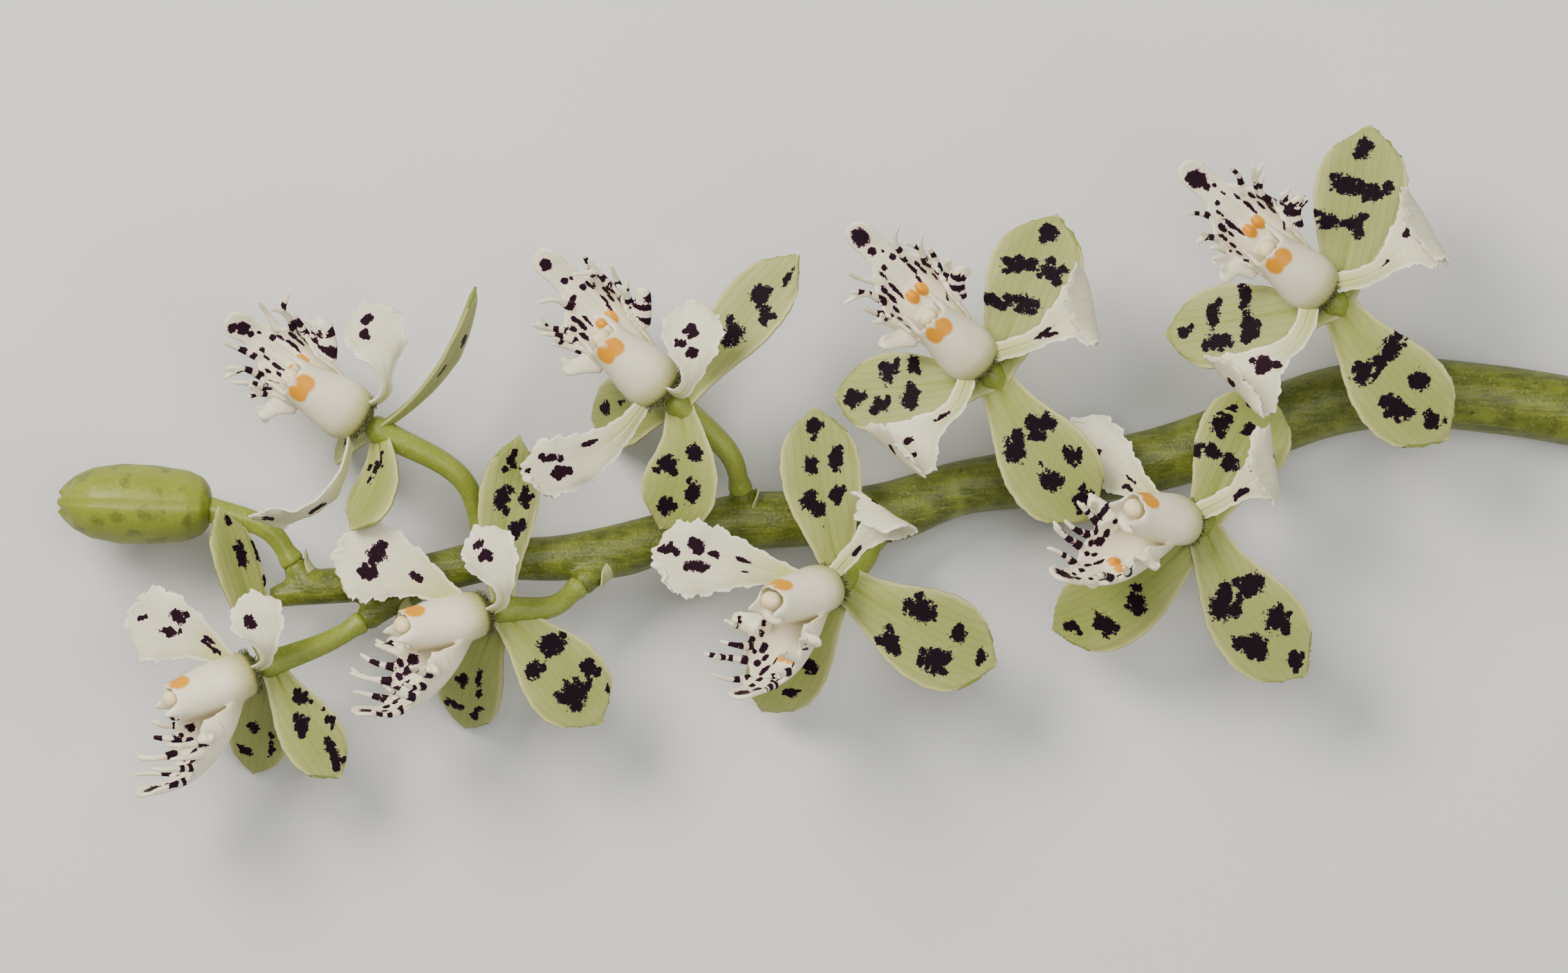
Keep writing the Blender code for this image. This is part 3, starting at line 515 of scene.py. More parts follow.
def soft_interp(value, marks):
    """Interpolates an outline with its corners rounded off."""
    marks = np.array(marks)
    fine = np.linspace(0, 1, 401)
    widths = np.interp(fine, marks[:, 0], marks[:, 1])
    kernel = np.hanning(21)
    padded = np.concatenate((np.full(10, widths[0]), widths, np.full(10, widths[-1])))
    rounded = np.convolve(padded, kernel / kernel.sum(), mode="valid")
    blend = smooth_step(fine, 0.93, 0.97)
    return np.interp(value, fine, rounded * (1 - blend) + widths * blend)


def grid_faces(rows, columns, start=0, closed=False):
    """Quads of a grid of points, whose last column joins its first if closed."""
    faces = []
    span = columns if closed else columns - 1
    for i in range(rows - 1):
        for j in range(span):
            a = start + i * columns + j
            b = start + i * columns + (j + 1) % columns
            faces.append((a, b, b + columns, a + columns))
    return faces


def sheet_shape(grid, thickness, fields):
    """A closed sheet round a grid of points, with a thickness for each of them."""
    along = np.gradient(grid, axis=0)
    across = np.gradient(grid, axis=1)
    normal = np.cross(along, across)
    normal /= np.linalg.norm(normal, axis=2)[:, :, None]
    offset = normal * (np.broadcast_to(thickness, grid.shape[:2])[:, :, None] / 2)
    rows, columns = grid.shape[:2]
    count = rows * columns
    upper, lower = (grid + offset).reshape(-1, 3), (grid - offset).reshape(-1, 3)
    top = [face[::-1] for face in grid_faces(rows, columns)]
    bottom = grid_faces(rows, columns, count)
    rim = list(range(columns)) + [i * columns + columns - 1 for i in range(1, rows)]
    rim += [(rows - 1) * columns + j for j in range(columns - 2, -1, -1)]
    rim += [i * columns for i in range(rows - 2, 0, -1)]
    edge = []
    for k, here in enumerate(rim):
        after = rim[(k + 1) % len(rim)]
        edge.append((here, after, after + count, here + count))
    both = {name: np.concatenate((value.ravel(), value.ravel())) for name, value in fields.items()}
    both["inner"] = np.concatenate((np.ones(count), np.zeros(count)))
    return Shape(np.concatenate((upper, lower)), top + bottom + edge, both)


def tube_shape(path, radii, sides, fields=None, flat=1.0, ridges=0.0, lobes=3):
    """A closed tube along path with round ends. flat squeezes it along its normal."""
    path = np.array(path, float)
    tangents, normals, others = frames_along(path, facing_up(unit(path[1] - path[0]), 0))
    angles = np.linspace(0, 2 * pi, sides, endpoint=False)
    swell = 1 + ridges * np.cos(lobes * angles)
    ring = normals[:, None, :] * (np.cos(angles) * swell * flat)[None, :, None]
    ring = ring + others[:, None, :] * (np.sin(angles) * swell)[None, :, None]
    points = path[:, None, :] + ring * np.asarray(radii, float)[:, None, None]
    points = points.reshape(-1, 3)
    count = len(path)
    faces = grid_faces(count, sides, closed=True)
    ends = np.array((path[0] - tangents[0] * radii[0] * 0.35, path[-1] + tangents[-1] * radii[-1] * 0.6))
    first, last = count * sides, count * sides + 1
    for k in range(sides):
        after = (k + 1) % sides
        faces.append((first, after, k))
        faces.append((last, (count - 1) * sides + k, (count - 1) * sides + after))
    made = {}
    for name, value in (fields or {}).items():
        value = np.broadcast_to(value, (count,))
        made[name] = np.append(np.repeat(value, sides), (value[0], value[-1]))
    return Shape(np.concatenate((points, ends)), faces, made)


def joined(shapes):
    """Several shapes as one, with 0 for a field that one of them lacks."""
    names = sorted({name for shape in shapes for name in shape.fields})
    points, faces, fields = [], [], {name: [] for name in names}
    start = 0
    for shape in shapes:
        count = len(shape.points)
        points.append(shape.points)
        faces += [tuple(k + start for k in face) for face in shape.faces]
        for name in names:
            fields[name].append(shape.fields.get(name, np.zeros(count)))
        start += count
    return Shape(np.concatenate(points), faces, {name: np.concatenate(fields[name]) for name in names})


def mesh_from(shape, scale):
    mesh = bpy.data.meshes.new("mesh")
    mesh.from_pydata((shape.points * scale).tolist(), [], shape.faces)
    mesh.update()
    return mesh


def remeshed(shape, voxel, rounds):
    """The shapes' outside as one even, smoothed skin, with the fields of the nearest old point."""
    holder = bpy.data.objects.new("remesh", mesh_from(shape, 1))
    bpy.context.scene.collection.objects.link(holder)
    skin = holder.modifiers.new("skin", "REMESH")
    skin.mode = "VOXEL"
    skin.voxel_size = voxel
    even = holder.modifiers.new("even", "SMOOTH")
    even.factor = 0.5
    even.iterations = rounds
    graph = bpy.context.evaluated_depsgraph_get()
    mesh = bpy.data.meshes.new_from_object(holder.evaluated_get(graph))
    old = holder.data
    bpy.data.objects.remove(holder)
    bpy.data.meshes.remove(old)
    points = np.empty(len(mesh.vertices) * 3)
    mesh.vertices.foreach_get("co", points)
    points = points.reshape(-1, 3)
    faces = [tuple(face.vertices) for face in mesh.polygons]
    bpy.data.meshes.remove(mesh)
    tree = KDTree(len(shape.points))
    for index, point in enumerate(shape.points):
        tree.insert(point, index)
    tree.balance()
    nearest = np.array([[found[1] for found in tree.find_n(point, 3)] for point in points])
    fields = {name: value[nearest].mean(axis=1) for name, value in shape.fields.items()}
    return Shape(points, faces, fields)


def piece(name, shape, material, node):
    """A finished piece of the object that rides on the one body and stands for a CAD node."""
    mesh = mesh_from(shape, MM)
    mesh.name = name
    for field, value in shape.fields.items():
        layer = mesh.attributes.new(field, "FLOAT", "POINT")
        layer.data.foreach_set("value", np.asarray(value, np.float32))
    mesh.materials.append(material)
    mesh.polygons.foreach_set("use_smooth", np.ones(len(mesh.polygons), bool))
    made = bpy.data.objects.new(name, mesh)
    bpy.context.scene.collection.objects.link(made)
    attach(made, "root")
    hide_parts(node)
    return made


def blotches(marks, along, across, half, length, random):
    """How deep each point lies in the nearest blotch: 1 at its middle, 0 at its edge and less outside."""
    depth = np.full(along.shape, CLEAR)
    for share, turn, tall, wide in marks:
        down = (along - share) * length
        out = (across - turn) * half
        depth = np.maximum(depth, 1 - np.hypot(down / tall, out / wide))
        for lobe in range(BLOTCH_LOBES):
            aside, ahead = random.uniform(-1.0, 1.0, 2) * (wide, tall)
            size = random.uniform(0.3, 0.6) * (tall * wide) ** 0.5
            depth = np.maximum(depth, 1 - np.hypot(down - ahead, out - aside) / size)
    return depth


def blade_shape(flower, blade, kind, marks, random):
    """A sepal or a petal with its groove, thin waved margins and blotches."""
    centre, axis, back, side = column_axes(flower, place)
    points = [centre + axis * kind.start, *(place(point) + (0, 0, centre[2]) for point in blade.route)]
    dense = 120
    path = curve_through(points, dense)
    tangents, normals, sides = frames_along(path, facing_up(unit(path[1] - path[0]), blade.roll))
    shares = np.linspace(0, 1, dense + 1)
    for i, share in enumerate(shares):
        onset = smooth_step(share, 0.4, 0.7)
        normals[i] = turned(normals[i], tangents[i], blade.twist * onset)
        sides[i] = np.cross(normals[i], tangents[i])
    length = np.linalg.norm(np.diff(path, axis=0), axis=1).sum()
    rows, columns = kind.rows + 1, kind.columns + 1
    s = 1 - (1 - np.linspace(0, 1, rows)) ** 1.5
    t = np.sin(np.linspace(-1, 1, columns) * pi / 2 * 0.86) / np.sin(pi / 2 * 0.86)
    along, across = np.meshgrid(s, t, indexing="ij")
    half = blade.width / 2 * soft_interp(along, blade.outline or kind.outline)
    phases = random.uniform(0, 2 * pi, 8)
    teeth = sum(
        np.sin(rate * along * length + phases[k] + np.sign(across) * phases[k + 4]) / (k + 1)
        for k, rate in enumerate((2.1, 4.7, 7.9, 12.3))
    )
    margin = np.abs(across) ** 6
    half = half * (1 + kind.jag * teeth * margin)
    end_teeth = np.sin(across * half * 3.1 + phases[1]) + 0.6 * np.sin(across * half * 6.3 + phases[2])
    reach = along * (1 - kind.pull * across**2 * along**2 + kind.jag * 0.25 * end_teeth * along**14)
    ripple = np.sin(0.62 * along * length + phases[3] + 1.6 * across) + 0.45 * np.sin(
        1.35 * along * length + phases[5] + np.sign(across) * phases[6]
    )
    lift = kind.cup * (across * half) ** 2 - kind.groove * bump(across, 0, 0.10) * (1 - along)
    lift = lift + kind.wave * ripple * np.abs(across) ** 2.4 * smooth_step(along, 0.25, 0.8)
    grid = np.zeros((rows, columns, 3))
    for k in range(3):
        grid[:, :, k] = (
            np.interp(reach, shares, path[:, k])
            + np.interp(reach, shares, sides[:, k]) * across * half
            + np.interp(reach, shares, normals[:, k]) * lift
        )
    edge = np.minimum((1 - np.abs(across)) * half, (1 - along) * length)
    thick = kind.rim + (kind.thickness - kind.rim) * smooth_step(edge, 0, 1.4)
    fields = {
        "along": along, "across": across * half, "edge": edge,
        "spot": blotches(marks, along, across, np.maximum(half, 0.5), length, random),
    }
    return sheet_shape(grid, thick, fields)


def joint_of(foot, via):
    """Where a pedicel breaks off the rachis, and the direction in which it leaves."""
    foot, via = place(foot), place(via)
    direction = unit(via - foot)
    rings = sorted(RACHIS, key=lambda ring: np.linalg.norm(place(ring[:3]) - foot))
    along = unit(place(rings[1][:3]) - place(rings[0][:3]))
    slant = np.linalg.norm(np.cross(direction, along))
    return foot + direction * (rings[0][3] + STUB_REACH) / slant, direction


def pedicel_shape(foot, via, end):
    """The thin, faintly ridged stalk from its joint on the rachis to the end that it carries."""
    joint, direction = joint_of(foot, via)
    start = joint - direction * 0.25
    path = curve_through((start, start + direction * 1.2, place(via), end), 48)
    radii = np.interp(np.linspace(0, 1, 49), PEDICEL_SHARES, PEDICEL_RADII)
    return tube_shape(path, radii, 24, ridges=0.045, lobes=6)


def sepal_pieces(number, flower, looks):
    """The green pieces: three sepals, and the pedicel with the cup on top of it."""
    random = np.random.default_rng(100 + number)
    centre, axis, back, side = column_axes(flower, place)
    node, slot = f"flower_{number}_sepals", "sepal_green"
    for index, (blade, marks) in enumerate(zip(flower.sepals, SEPAL_MARKS[number - 1]), 1):
        shape = blade_shape(flower, blade, SEPAL, marks, random)
        piece(f"flower_{number}_sepal_{index}", shape, looks["sepal"], node)
    cup = tube_shape(
        [centre + axis * a for a in np.linspace(-1.7, 1.2, 12)],
        CUP_RADIUS * np.sin(np.linspace(0.35, pi - 0.55, 12)), 28,
    )
    stalk = pedicel_shape(flower.foot, flower.via, centre)
    shape = remeshed(joined([cup, stalk]), PEDICEL_VOXEL, 4)
    piece(f"flower_{number}_pedicel", shape, looks["pedicel"], node)


def column_shape(flower):
    """The column: an egg-shaped tube with a toothed hood and a hollow for the anther cap at its end."""
    centre, axis, back, side = column_axes(flower, place)
    sides = 72
    angle = np.linspace(-pi, pi, sides, endpoint=False)
    flaps = 2.3 * bump(np.abs(angle), radians(104), radians(17)) + 0.6 * bump(angle, 0, radians(30))
    flaps = flaps + 0.28 * np.abs(np.sin(6.5 * angle)) * bump(angle, 0, radians(75))
    fine = curve_through(COLUMN_SECTIONS, 110)
    fine[:, 3] = np.clip(fine[:, 3], 0, None)
    rings = []
    for a, wide, high, lift, share in fine:
        ring = centre + np.outer(a + flaps * share, axis)
        ring = ring + np.outer(high * np.cos(angle) + lift, back) + np.outer(wide * np.sin(angle), side)
        rings.append(ring)
    points = np.concatenate(rings)
    faces = grid_faces(len(rings), sides, closed=True)
    first_end, last_end = centre + axis * COLUMN_FOOT, centre + axis * RECESS_FLOOR + back * ANTHER_OFFSET
    first, last = len(points), len(points) + 1
    for k in range(sides):
        after = (k + 1) % sides
        faces.append((first, after, k))
        faces.append((last, len(points) - sides + k, len(points) - sides + after))
    a = np.repeat(fine[:, 0], sides)
    turn = np.tile(angle, len(fine))
    outside = np.repeat(np.arange(len(fine)) <= fine[:, 0].argmax(), sides)
    lobes = bump(turn, radians(21), radians(20)) + bump(turn, radians(-21), radians(20))
    orange = bump(a, 11.7, 1.15) * lobes * outside * 1.25
    fields = {
        "orange": np.append(orange, (0, 0)),
        "green": np.append(1 - smooth_step(a, 2.4, 7.4), (1, 0)),
        "ring": np.append(1 - smooth_step(a, 2.3, 3.1), (1, 0)),
        "spot": np.full(len(points) + 2, CLEAR),
        "turn": np.append(turn, (0, 0)),
    }
    return Shape(np.concatenate((points, (first_end, last_end))), faces, fields)


def ring_hairs(flower, random):
    """Short stiff hairs on the dark ring at the column's foot."""
    centre, axis, back, side = column_axes(flower, place)
    hairs = []
    for angle in random.uniform(-pi, pi, RING_HAIRS):
        out = back * np.cos(angle) * 2.5 + side * np.sin(angle) * 2.8
        root = centre + axis * random.uniform(1.7, 2.7) + out
        way = unit(out + axis * random.uniform(-1.5, 1.5) + random.normal(0, 0.5, 3))
        path = [root - way * 0.3, root + way * 0.2, root + way * random.uniform(0.5, 0.8)]
        hairs.append(tube_shape(path, (0.09, 0.06, 0.03), 5, {"ring": 1.0, "spot": CLEAR}))
    return hairs


def lip_surface(flower):
    """A function from (share, out, rise) on the lip to points. out is measured over its section's curve."""
    centre, axis, back, side = column_axes(flower, place)
    count = 120
    route = [centre + axis * a + back * b for a, b in (*LIP_ROUTE, flower.lip)]
    path = curve_through(route, count)
    tangents = np.gradient(path, axis=0)
    tangents /= np.linalg.norm(tangents, axis=1)[:, None]
    normals = np.cross(tangents, side)
    normals *= np.sign(normals[0] @ back)
    run = np.linspace(0, 1, count + 1)
    bends = np.array(LIP_BEND)

    def surface(share, out, rise=0.0):
        share, out = np.asarray(share, float), np.asarray(out, float)
        point = np.stack([np.interp(share, run, path[:, k]) for k in range(3)], axis=-1)
        normal = np.stack([np.interp(share, run, normals[:, k]) for k in range(3)], axis=-1)
        bend = np.interp(share, bends[:, 0], bends[:, 1])
        turn = np.minimum(np.abs(out) / bend, pi / 2)
        wall = np.abs(out) - turn * bend
        hand = np.sign(out)
        sheet = point + side * (bend * np.sin(turn) * hand)[..., None]
        sheet = sheet + normal * (bend * (1 - np.cos(turn)) + wall)[..., None]
        inward = normal * np.cos(turn)[..., None] - side * (np.sin(turn) * hand)[..., None]
        return sheet + inward * np.asarray(rise)[..., None]

    return surface, np.linalg.norm(np.diff(path, axis=0), axis=1).sum()


def lip_marks(share, out, length, random):
    """How deep each point of the lip lies in a blotch."""
    marks = list(LIP_TIP_MARKS)
    for hand in (-1, 1):
        marks += [(along, aside * hand, tall, wide) for along, aside, tall, wide in LIP_PAIRS]
    depth = np.full(share.shape, CLEAR)
    for along, aside, tall, wide in marks:
        along, aside = along + random.normal(0, 0.012), aside + random.normal(0, 0.15)
        size = random.uniform(0.75, 1.2)
        down, across = (share - along) * length / (tall * size), (out - aside) / (wide * size)
        depth = np.maximum(depth, 1 - np.hypot(down, across))
    return depth


def lip_shapes(flower, random):
    """The lip's scoop with its keels and two calli, and the forked fingers of its fringe."""
    surface, length = lip_surface(flower)
    share, turn = np.meshgrid(np.linspace(0, 1, 120), np.linspace(-1, 1, 84), indexing="ij")
    half = soft_interp(share, LIP_OUTLINE)
    teeth = np.sin(share * 70 + random.uniform(0, 6)) + 0.6 * np.sin(share * 131 + random.uniform(0, 6))
    out = turn * (half + 0.22 * teeth * np.abs(turn) ** 4 * bump(share, 0.45, 0.25))
    keels = sum(0.42 * bump(out, middle, 0.3) for middle in KEELS)
    rise = keels * smooth_step(share, 0.40, 0.48) * (1 - smooth_step(share, 0.66, 0.80))
    callus = sum(bump(share, 0.42, 0.045) * bump(out, middle, 0.65) for middle in (-0.95, 0.95))
    rise = rise + callus
    thick = LIP_THICKNESS * (1 - 0.35 * np.abs(turn) ** 6)
    fields = {
        "orange": callus * 1.3,
        "spot": lip_marks(share, out, length, random),
        "green": 0.6 * (1 - smooth_step(share, 0, 0.22)),
    }
    shapes = [sheet_shape(surface(share, out, rise), thick, fields)]
    for hand in (-1, 1):
        for finger in FRINGE:
            shapes += finger_shapes(column_axes(flower, place), finger, hand, random)
    return shapes


def chain(shares, length, random):
    """How deep points along a finger lie in a chain of short blotches."""
    depth = np.full(shares.shape, CLEAR)
    middle = random.uniform(0.2, 1.0)
    reach = length * random.choice((0.0, 0.45, 0.6, 0.8))
    while middle < reach:
        half = random.uniform(0.4, 1.0)
        depth = np.maximum(depth, 0.85 - np.abs(shares * length - middle) / half)
        middle += half * 2 + random.uniform(0.1, 0.6)
    return depth


def finger_shapes(axes, finger, hand, random):
    """One finger of the fringe with its side prongs, and a chain of blotches along it."""
    centre, axis, back, side = axes
    root, tip = (centre + axis * a + side * hand * o + back * b for a, o, b in (finger.root, finger.tip))
    broad = finger.half > BROAD_FINGER
    tip = tip + random.normal(0, 0.2 if broad else 0.5, 3)
    reach = tip - root
    length = np.linalg.norm(reach)
    across = unit(np.cross(reach, back))
    shares = np.linspace(0, 1, 20)
    bow = axis * FINGER_BOW + across * random.normal(0, 0.45) + back * random.normal(0, 0.2)
    line = root + np.outer(shares, reach) + np.outer(np.sin(shares * pi), bow)
    taper = (1.25, 1.0, 0.95, 0.7) if broad else (1.35, 0.85, 0.75, 0.5)
    lines = [(line, finger.half * np.interp(shares, (0, 0.5, 0.85, 1), taper), length)]
    side_prong = random.choice(SIDE_PRONG_ANGLES)
    angles = {1: (), 2: (side_prong,), 3: BROAD_PRONG_ANGLES}[finger.prongs]
    for angle in angles:
        start = line[13] if broad else line[random.integers(8, 12)]
        angle = radians(angle + random.normal(0, 6))
        way = unit(reach) * np.cos(angle) + across * np.sin(angle)
        extent = random.uniform(1.3, 1.9) if broad else random.uniform(1.8, 2.8)
        steps = np.linspace(0, 1, 12)
        curl = across * random.normal(0, 0.4) + back * random.uniform(-0.1, 0.5)
        prong = start + np.outer(steps * extent, way) + np.outer(steps**2, curl)
        start_half = finger.half * (0.5 if broad else 0.85)
        lines.append((prong, start_half * np.interp(steps, (0, 0.7, 1), (1.15, 0.95, 0.65)), extent))
    plain = broad and hand > 0
    shapes = []
    for line, radii, extent in lines:
        steps = np.linspace(0, 1, len(line))
        fields = {"spot": np.full(len(line), CLEAR) if plain else chain(steps, extent, random), "inner": 1.0}
        shapes.append(tube_shape(line, radii, 12, fields, flat=0.5 if broad else 0.85))
    return shapes


def white_pieces(number, flower, looks):
    """The white pieces: two petals, and the column with the lip that has grown together with it."""
    random = np.random.default_rng(200 + number)
    node, slot = f"flower_{number}_petals_and_lip", "petal_white"
    shape = remeshed(joined([column_shape(flower), *lip_shapes(flower, random)]), LIP_VOXEL, 3)
    shape = joined([shape, *ring_hairs(flower, random)])
    piece(f"flower_{number}_column_and_lip", shape, looks["lip"], node)
    for index, (blade, marks) in enumerate(zip(flower.petals, PETAL_MARKS[number - 1]), 1):
        shape = blade_shape(flower, blade, PETAL, marks, random)
        piece(f"flower_{number}_petal_{index}", shape, looks["petal"], node)


def cap_piece(number, flower, looks):
    """The anther cap: a cream ball with a furrow down its middle."""
    centre, axis, back, side = column_axes(flower, place)
    rings, sides = 28, 40
    polar, angle = np.meshgrid(
        np.linspace(0.02, pi - 0.02, rings), np.linspace(0, 2 * pi, sides, endpoint=False), indexing="ij"
    )
    out = np.sin(polar) * np.sin(angle)
    radius = ANTHER_RADIUS * (0.98 - 0.09 * bump(out, 0, 0.16) * (np.cos(polar) > -0.4))
    points = (
        cap_centre(flower, place)
        + (radius * np.cos(polar)).reshape(-1, 1) * axis
        + (radius * np.sin(polar) * np.cos(angle)).reshape(-1, 1) * back * 0.96
        + (radius * out).reshape(-1, 1) * side
    )
    faces = [face[::-1] for face in grid_faces(rings, sides, closed=True)]
    faces.append(tuple(range(sides)))
    faces.append(tuple(range((rings - 1) * sides, rings * sides))[::-1])
    shape, node = Shape(points, faces, {}), f"flower_{number}_anther_cap"
    piece(f"flower_{number}_anther", shape, looks["anther"], node)


def rachis_pieces(looks):
    """The stem with its pedicels' feet, and the thin bracts at them."""
    knots = np.array([(*place(ring[:3]), ring[3]) for ring in RACHIS])
    line = curve_through(knots, 260)
    body = tube_shape(line[:, :3], line[:, 3], 48, ridges=0.012, lobes=7)
    shapes = [body]
    feet = [(flower.foot, flower.via) for flower in FLOWERS] + [(BUD_STEM_FOOT, BUD_VIA)]
    for foot, via in feet:
        joint, direction = joint_of(foot, via)
        root = place(foot)
        path = curve_through((root, root + (joint - root) * 0.6, joint - direction * 0.3), 20)
        radii = np.interp(np.linspace(0, 1, 21), FOOT_SHARES, FOOT_RADII)
        shapes.append(tube_shape(path, radii, 24))
    shape = remeshed(joined(shapes), STEM_VOXEL, 5)
    points = shape.points
    points[:, 2] = np.maximum(points[:, 2], 0.0)
    end = place(RACHIS[-1][:3])
    before = place(RACHIS[-2][:3])
    way = unit(end - before)
    over = np.maximum((points - end) @ way, 0)
    points -= np.outer(over, way)
    cut = smooth_step((points - end) @ way, -0.35, -0.05)
    shape.fields["cut"] = cut * (1 - smooth_step(np.linalg.norm(points - end, axis=1), 3.6, 4.1))
    piece("stem", Shape(points, shape.faces, shape.fields), looks["stem"], "rachis")
    for index, (foot, via) in enumerate(feet, 1):
        piece(f"bract_{index}", bract_shape(foot, via), looks["bract"], "rachis")


def bract_shape(foot, via):
    """A thin, pointed scale that clasps the lower side of a pedicel's foot."""
    joint, direction = joint_of(foot, via)
    root = place(foot)
    low = np.array((1.0, 0.0, 0.0))
    low = unit(low - direction * (low @ direction))
    side = np.cross(direction, low)
    steps, turns = np.linspace(0, 1, 22), np.linspace(-1, 1, 21)
    share, turn = np.meshgrid(steps, turns, indexing="ij")
    half = 1.95 * (1 - share**2.2) + 0.12
    angle = turn * half / 2.0
    away = np.interp(share, (0, 0.5, 1), (1.9, 1.85, 2.25))
    middle = root + (joint - root) * 0.42
    grid = middle + (share * 2.7)[..., None] * direction
    grid = grid + (away * np.cos(angle))[..., None] * low + (away * np.sin(angle))[..., None] * side
    return sheet_shape(grid, BRACT_THICKNESS, {})


def bud_pieces(looks):
    """The closed bud, whose three sepals meet in low keels, on its own pedicel."""
    tip, end = place(BUD_TIP), place(BUD_END)
    axis = unit(tip - end)
    normal = facing_up(axis, 0)
    other = np.cross(axis, normal)
    rows, sides = 90, 72
    shares = 1 - np.cos(np.linspace(0, pi, rows))
    shares = shares / shares[-1]
    angles = np.linspace(0, 2 * pi, sides, endpoint=False)
    share, angle = np.meshgrid(shares, angles, indexing="ij")
    keel = 0.035 * np.cos(3 * angle) - 0.045 * bump(np.cos(1.5 * (angle - pi / 3)), 0, 0.10)
    radius = BUD_RADIUS * soft_interp(share, BUD_PROFILE) * (1 + keel)
    lobes = 0.5 * np.cos(3 * angle) * (1 - smooth_step(share, 0, 0.1))
    points = tip + (share[..., None]) * (end - tip) + lobes[..., None] * axis
    points = points + (radius * np.cos(angle))[..., None] * normal
    points = points + (radius * np.sin(angle))[..., None] * other
    points = points.reshape(-1, 3)
    faces = grid_faces(rows, sides, closed=True)
    first, last = len(points), len(points) + 1
    for k in range(sides):
        after = (k + 1) % sides
        faces.append((first, after, k))
        faces.append((last, (rows - 1) * sides + k, (rows - 1) * sides + after))
    points = np.concatenate((points, [tip - axis * 0.5, end - axis * 0.2]))
    stalk = pedicel_shape(BUD_STEM_FOOT, BUD_VIA, end + axis * 1.5)
    piece("bud_head", Shape(points, faces, {}), looks["bud"], "bud")
    piece("bud_pedicel", stalk, looks["pedicel"], "bud")


class Nodes:
    """A material's node tree, with short ways to add the nodes that the looks are made of."""

    def __init__(self, name):
        self.material = bpy.data.materials.new(name)
        self.material.use_nodes = True
        self.tree = self.material.node_tree
        self.shader = self.tree.nodes["Principled BSDF"]
        place_node = self.tree.nodes.new("ShaderNodeTexCoord")
        scale = self.tree.nodes.new("ShaderNodeMapping")
        scale.inputs["Scale"].default_value = (1 / MM,) * 3
        self.tree.links.new(place_node.outputs["Object"], scale.inputs["Vector"])
        self.place = scale.outputs["Vector"]

    def plug(self, socket, value):
        if isinstance(value, bpy.types.NodeSocket):
            self.tree.links.new(value, socket)
        elif isinstance(value, tuple):
            socket.default_value = (*value, 1) if len(value) == 3 else value
        else:
            socket.default_value = value

    def field(self, name):
        node = self.tree.nodes.new("ShaderNodeAttribute")
        node.attribute_name = name
        return node.outputs["Fac"]

    def math(self, operation, *values):
        node = self.tree.nodes.new("ShaderNodeMath")
        node.operation = operation
        for socket, value in zip(node.inputs, values):
            self.plug(socket, value)
        return node.outputs["Value"]

    def step(self, value, low, high):
        node = self.tree.nodes.new("ShaderNodeMapRange")
        node.interpolation_type = "SMOOTHSTEP"
        self.plug(node.inputs["Value"], value)
        node.inputs["From Min"].default_value = low
        node.inputs["From Max"].default_value = high
        return node.outputs["Result"]

    def noise(self, size, detail=2.0, stretch=None):
        """Noise whose features are about size millimetres across."""
        node = self.tree.nodes.new("ShaderNodeTexNoise")
        node.inputs["Scale"].default_value = 1 / size
        node.inputs["Detail"].default_value = detail
        where = self.place
        if stretch:
            squeezed = self.tree.nodes.new("ShaderNodeMapping")
            squeezed.inputs["Scale"].default_value = [1 / value for value in stretch]
            self.tree.links.new(self.place, squeezed.inputs["Vector"])
            where = squeezed.outputs["Vector"]
        self.plug(node.inputs["Vector"], where)
        return node.outputs["Fac"]

    def mix(self, share, first, second):
        node = self.tree.nodes.new("ShaderNodeMix")
        node.data_type = "RGBA"
        colours = [socket for socket in node.inputs if socket.type == "RGBA"]
        self.plug(node.inputs["Factor"], share)
        self.plug(colours[0], first)
        self.plug(colours[1], second)
        return next(socket for socket in node.outputs if socket.type == "RGBA")

    def blotch(self, rough=1.0):
        """1 inside a ragged blotch, and the same for its wider, paler rim."""
        wander = self.sway(self.noise(0.85, 3.0), 0.75 * rough)
        speck = self.sway(self.noise(0.28, 2.0), 0.55 * rough)
        depth = self.math("ADD", self.math("ADD", self.field("spot"), wander), speck)
        return self.step(depth, 0.10, 0.20), self.step(depth, 0.0, 0.14)

    def tint(self, body, value, low, high, share, colour):
        """body, with colour laid over it by share where value has passed from low to high."""
        return self.mix(self.math("MULTIPLY", self.step(value, low, high), share), body, colour)

    def sway(self, noise, reach):
        """noise as a value from -reach to reach."""
        return self.math("MULTIPLY_ADD", noise, 2 * reach, -reach)

    def veins(self, rate, size, reach, low):
        """1 on the wavering lines that run along a blade."""
        across = self.math("MULTIPLY", self.field("across"), rate)
        line = self.math("SINE", self.math("ADD", across, self.sway(self.noise(size), reach)))
        return self.step(line, low, 1.0)

    def matt(self, dark, value):
        """value, but next to nothing inside the dark blotches."""
        return self.math("MULTIPLY_ADD", dark, -0.92 * value, value)

    def relief(self, height, depth_mm, strength=1.0):
        node = self.tree.nodes.new("ShaderNodeBump")
        node.inputs["Strength"].default_value = strength
        node.inputs["Distance"].default_value = depth_mm * MM
        self.plug(node.inputs["Height"], height)
        self.plug(self.shader.inputs["Normal"], node.outputs["Normal"])

    def finish(self, colour, roughness, scatter=0.0, gloss=0.4):
        self.plug(self.shader.inputs["Base Color"], colour)
        self.plug(self.shader.inputs["Roughness"], roughness)
        self.plug(self.shader.inputs["Subsurface Weight"], scatter)
        self.shader.inputs["Subsurface Scale"].default_value = SCATTER_REACH * MM
        self.shader.inputs["Subsurface Radius"].default_value = (1.0, 0.9, 0.45)
        self.plug(self.shader.inputs["Specular IOR Level"], gloss)
        return self.material


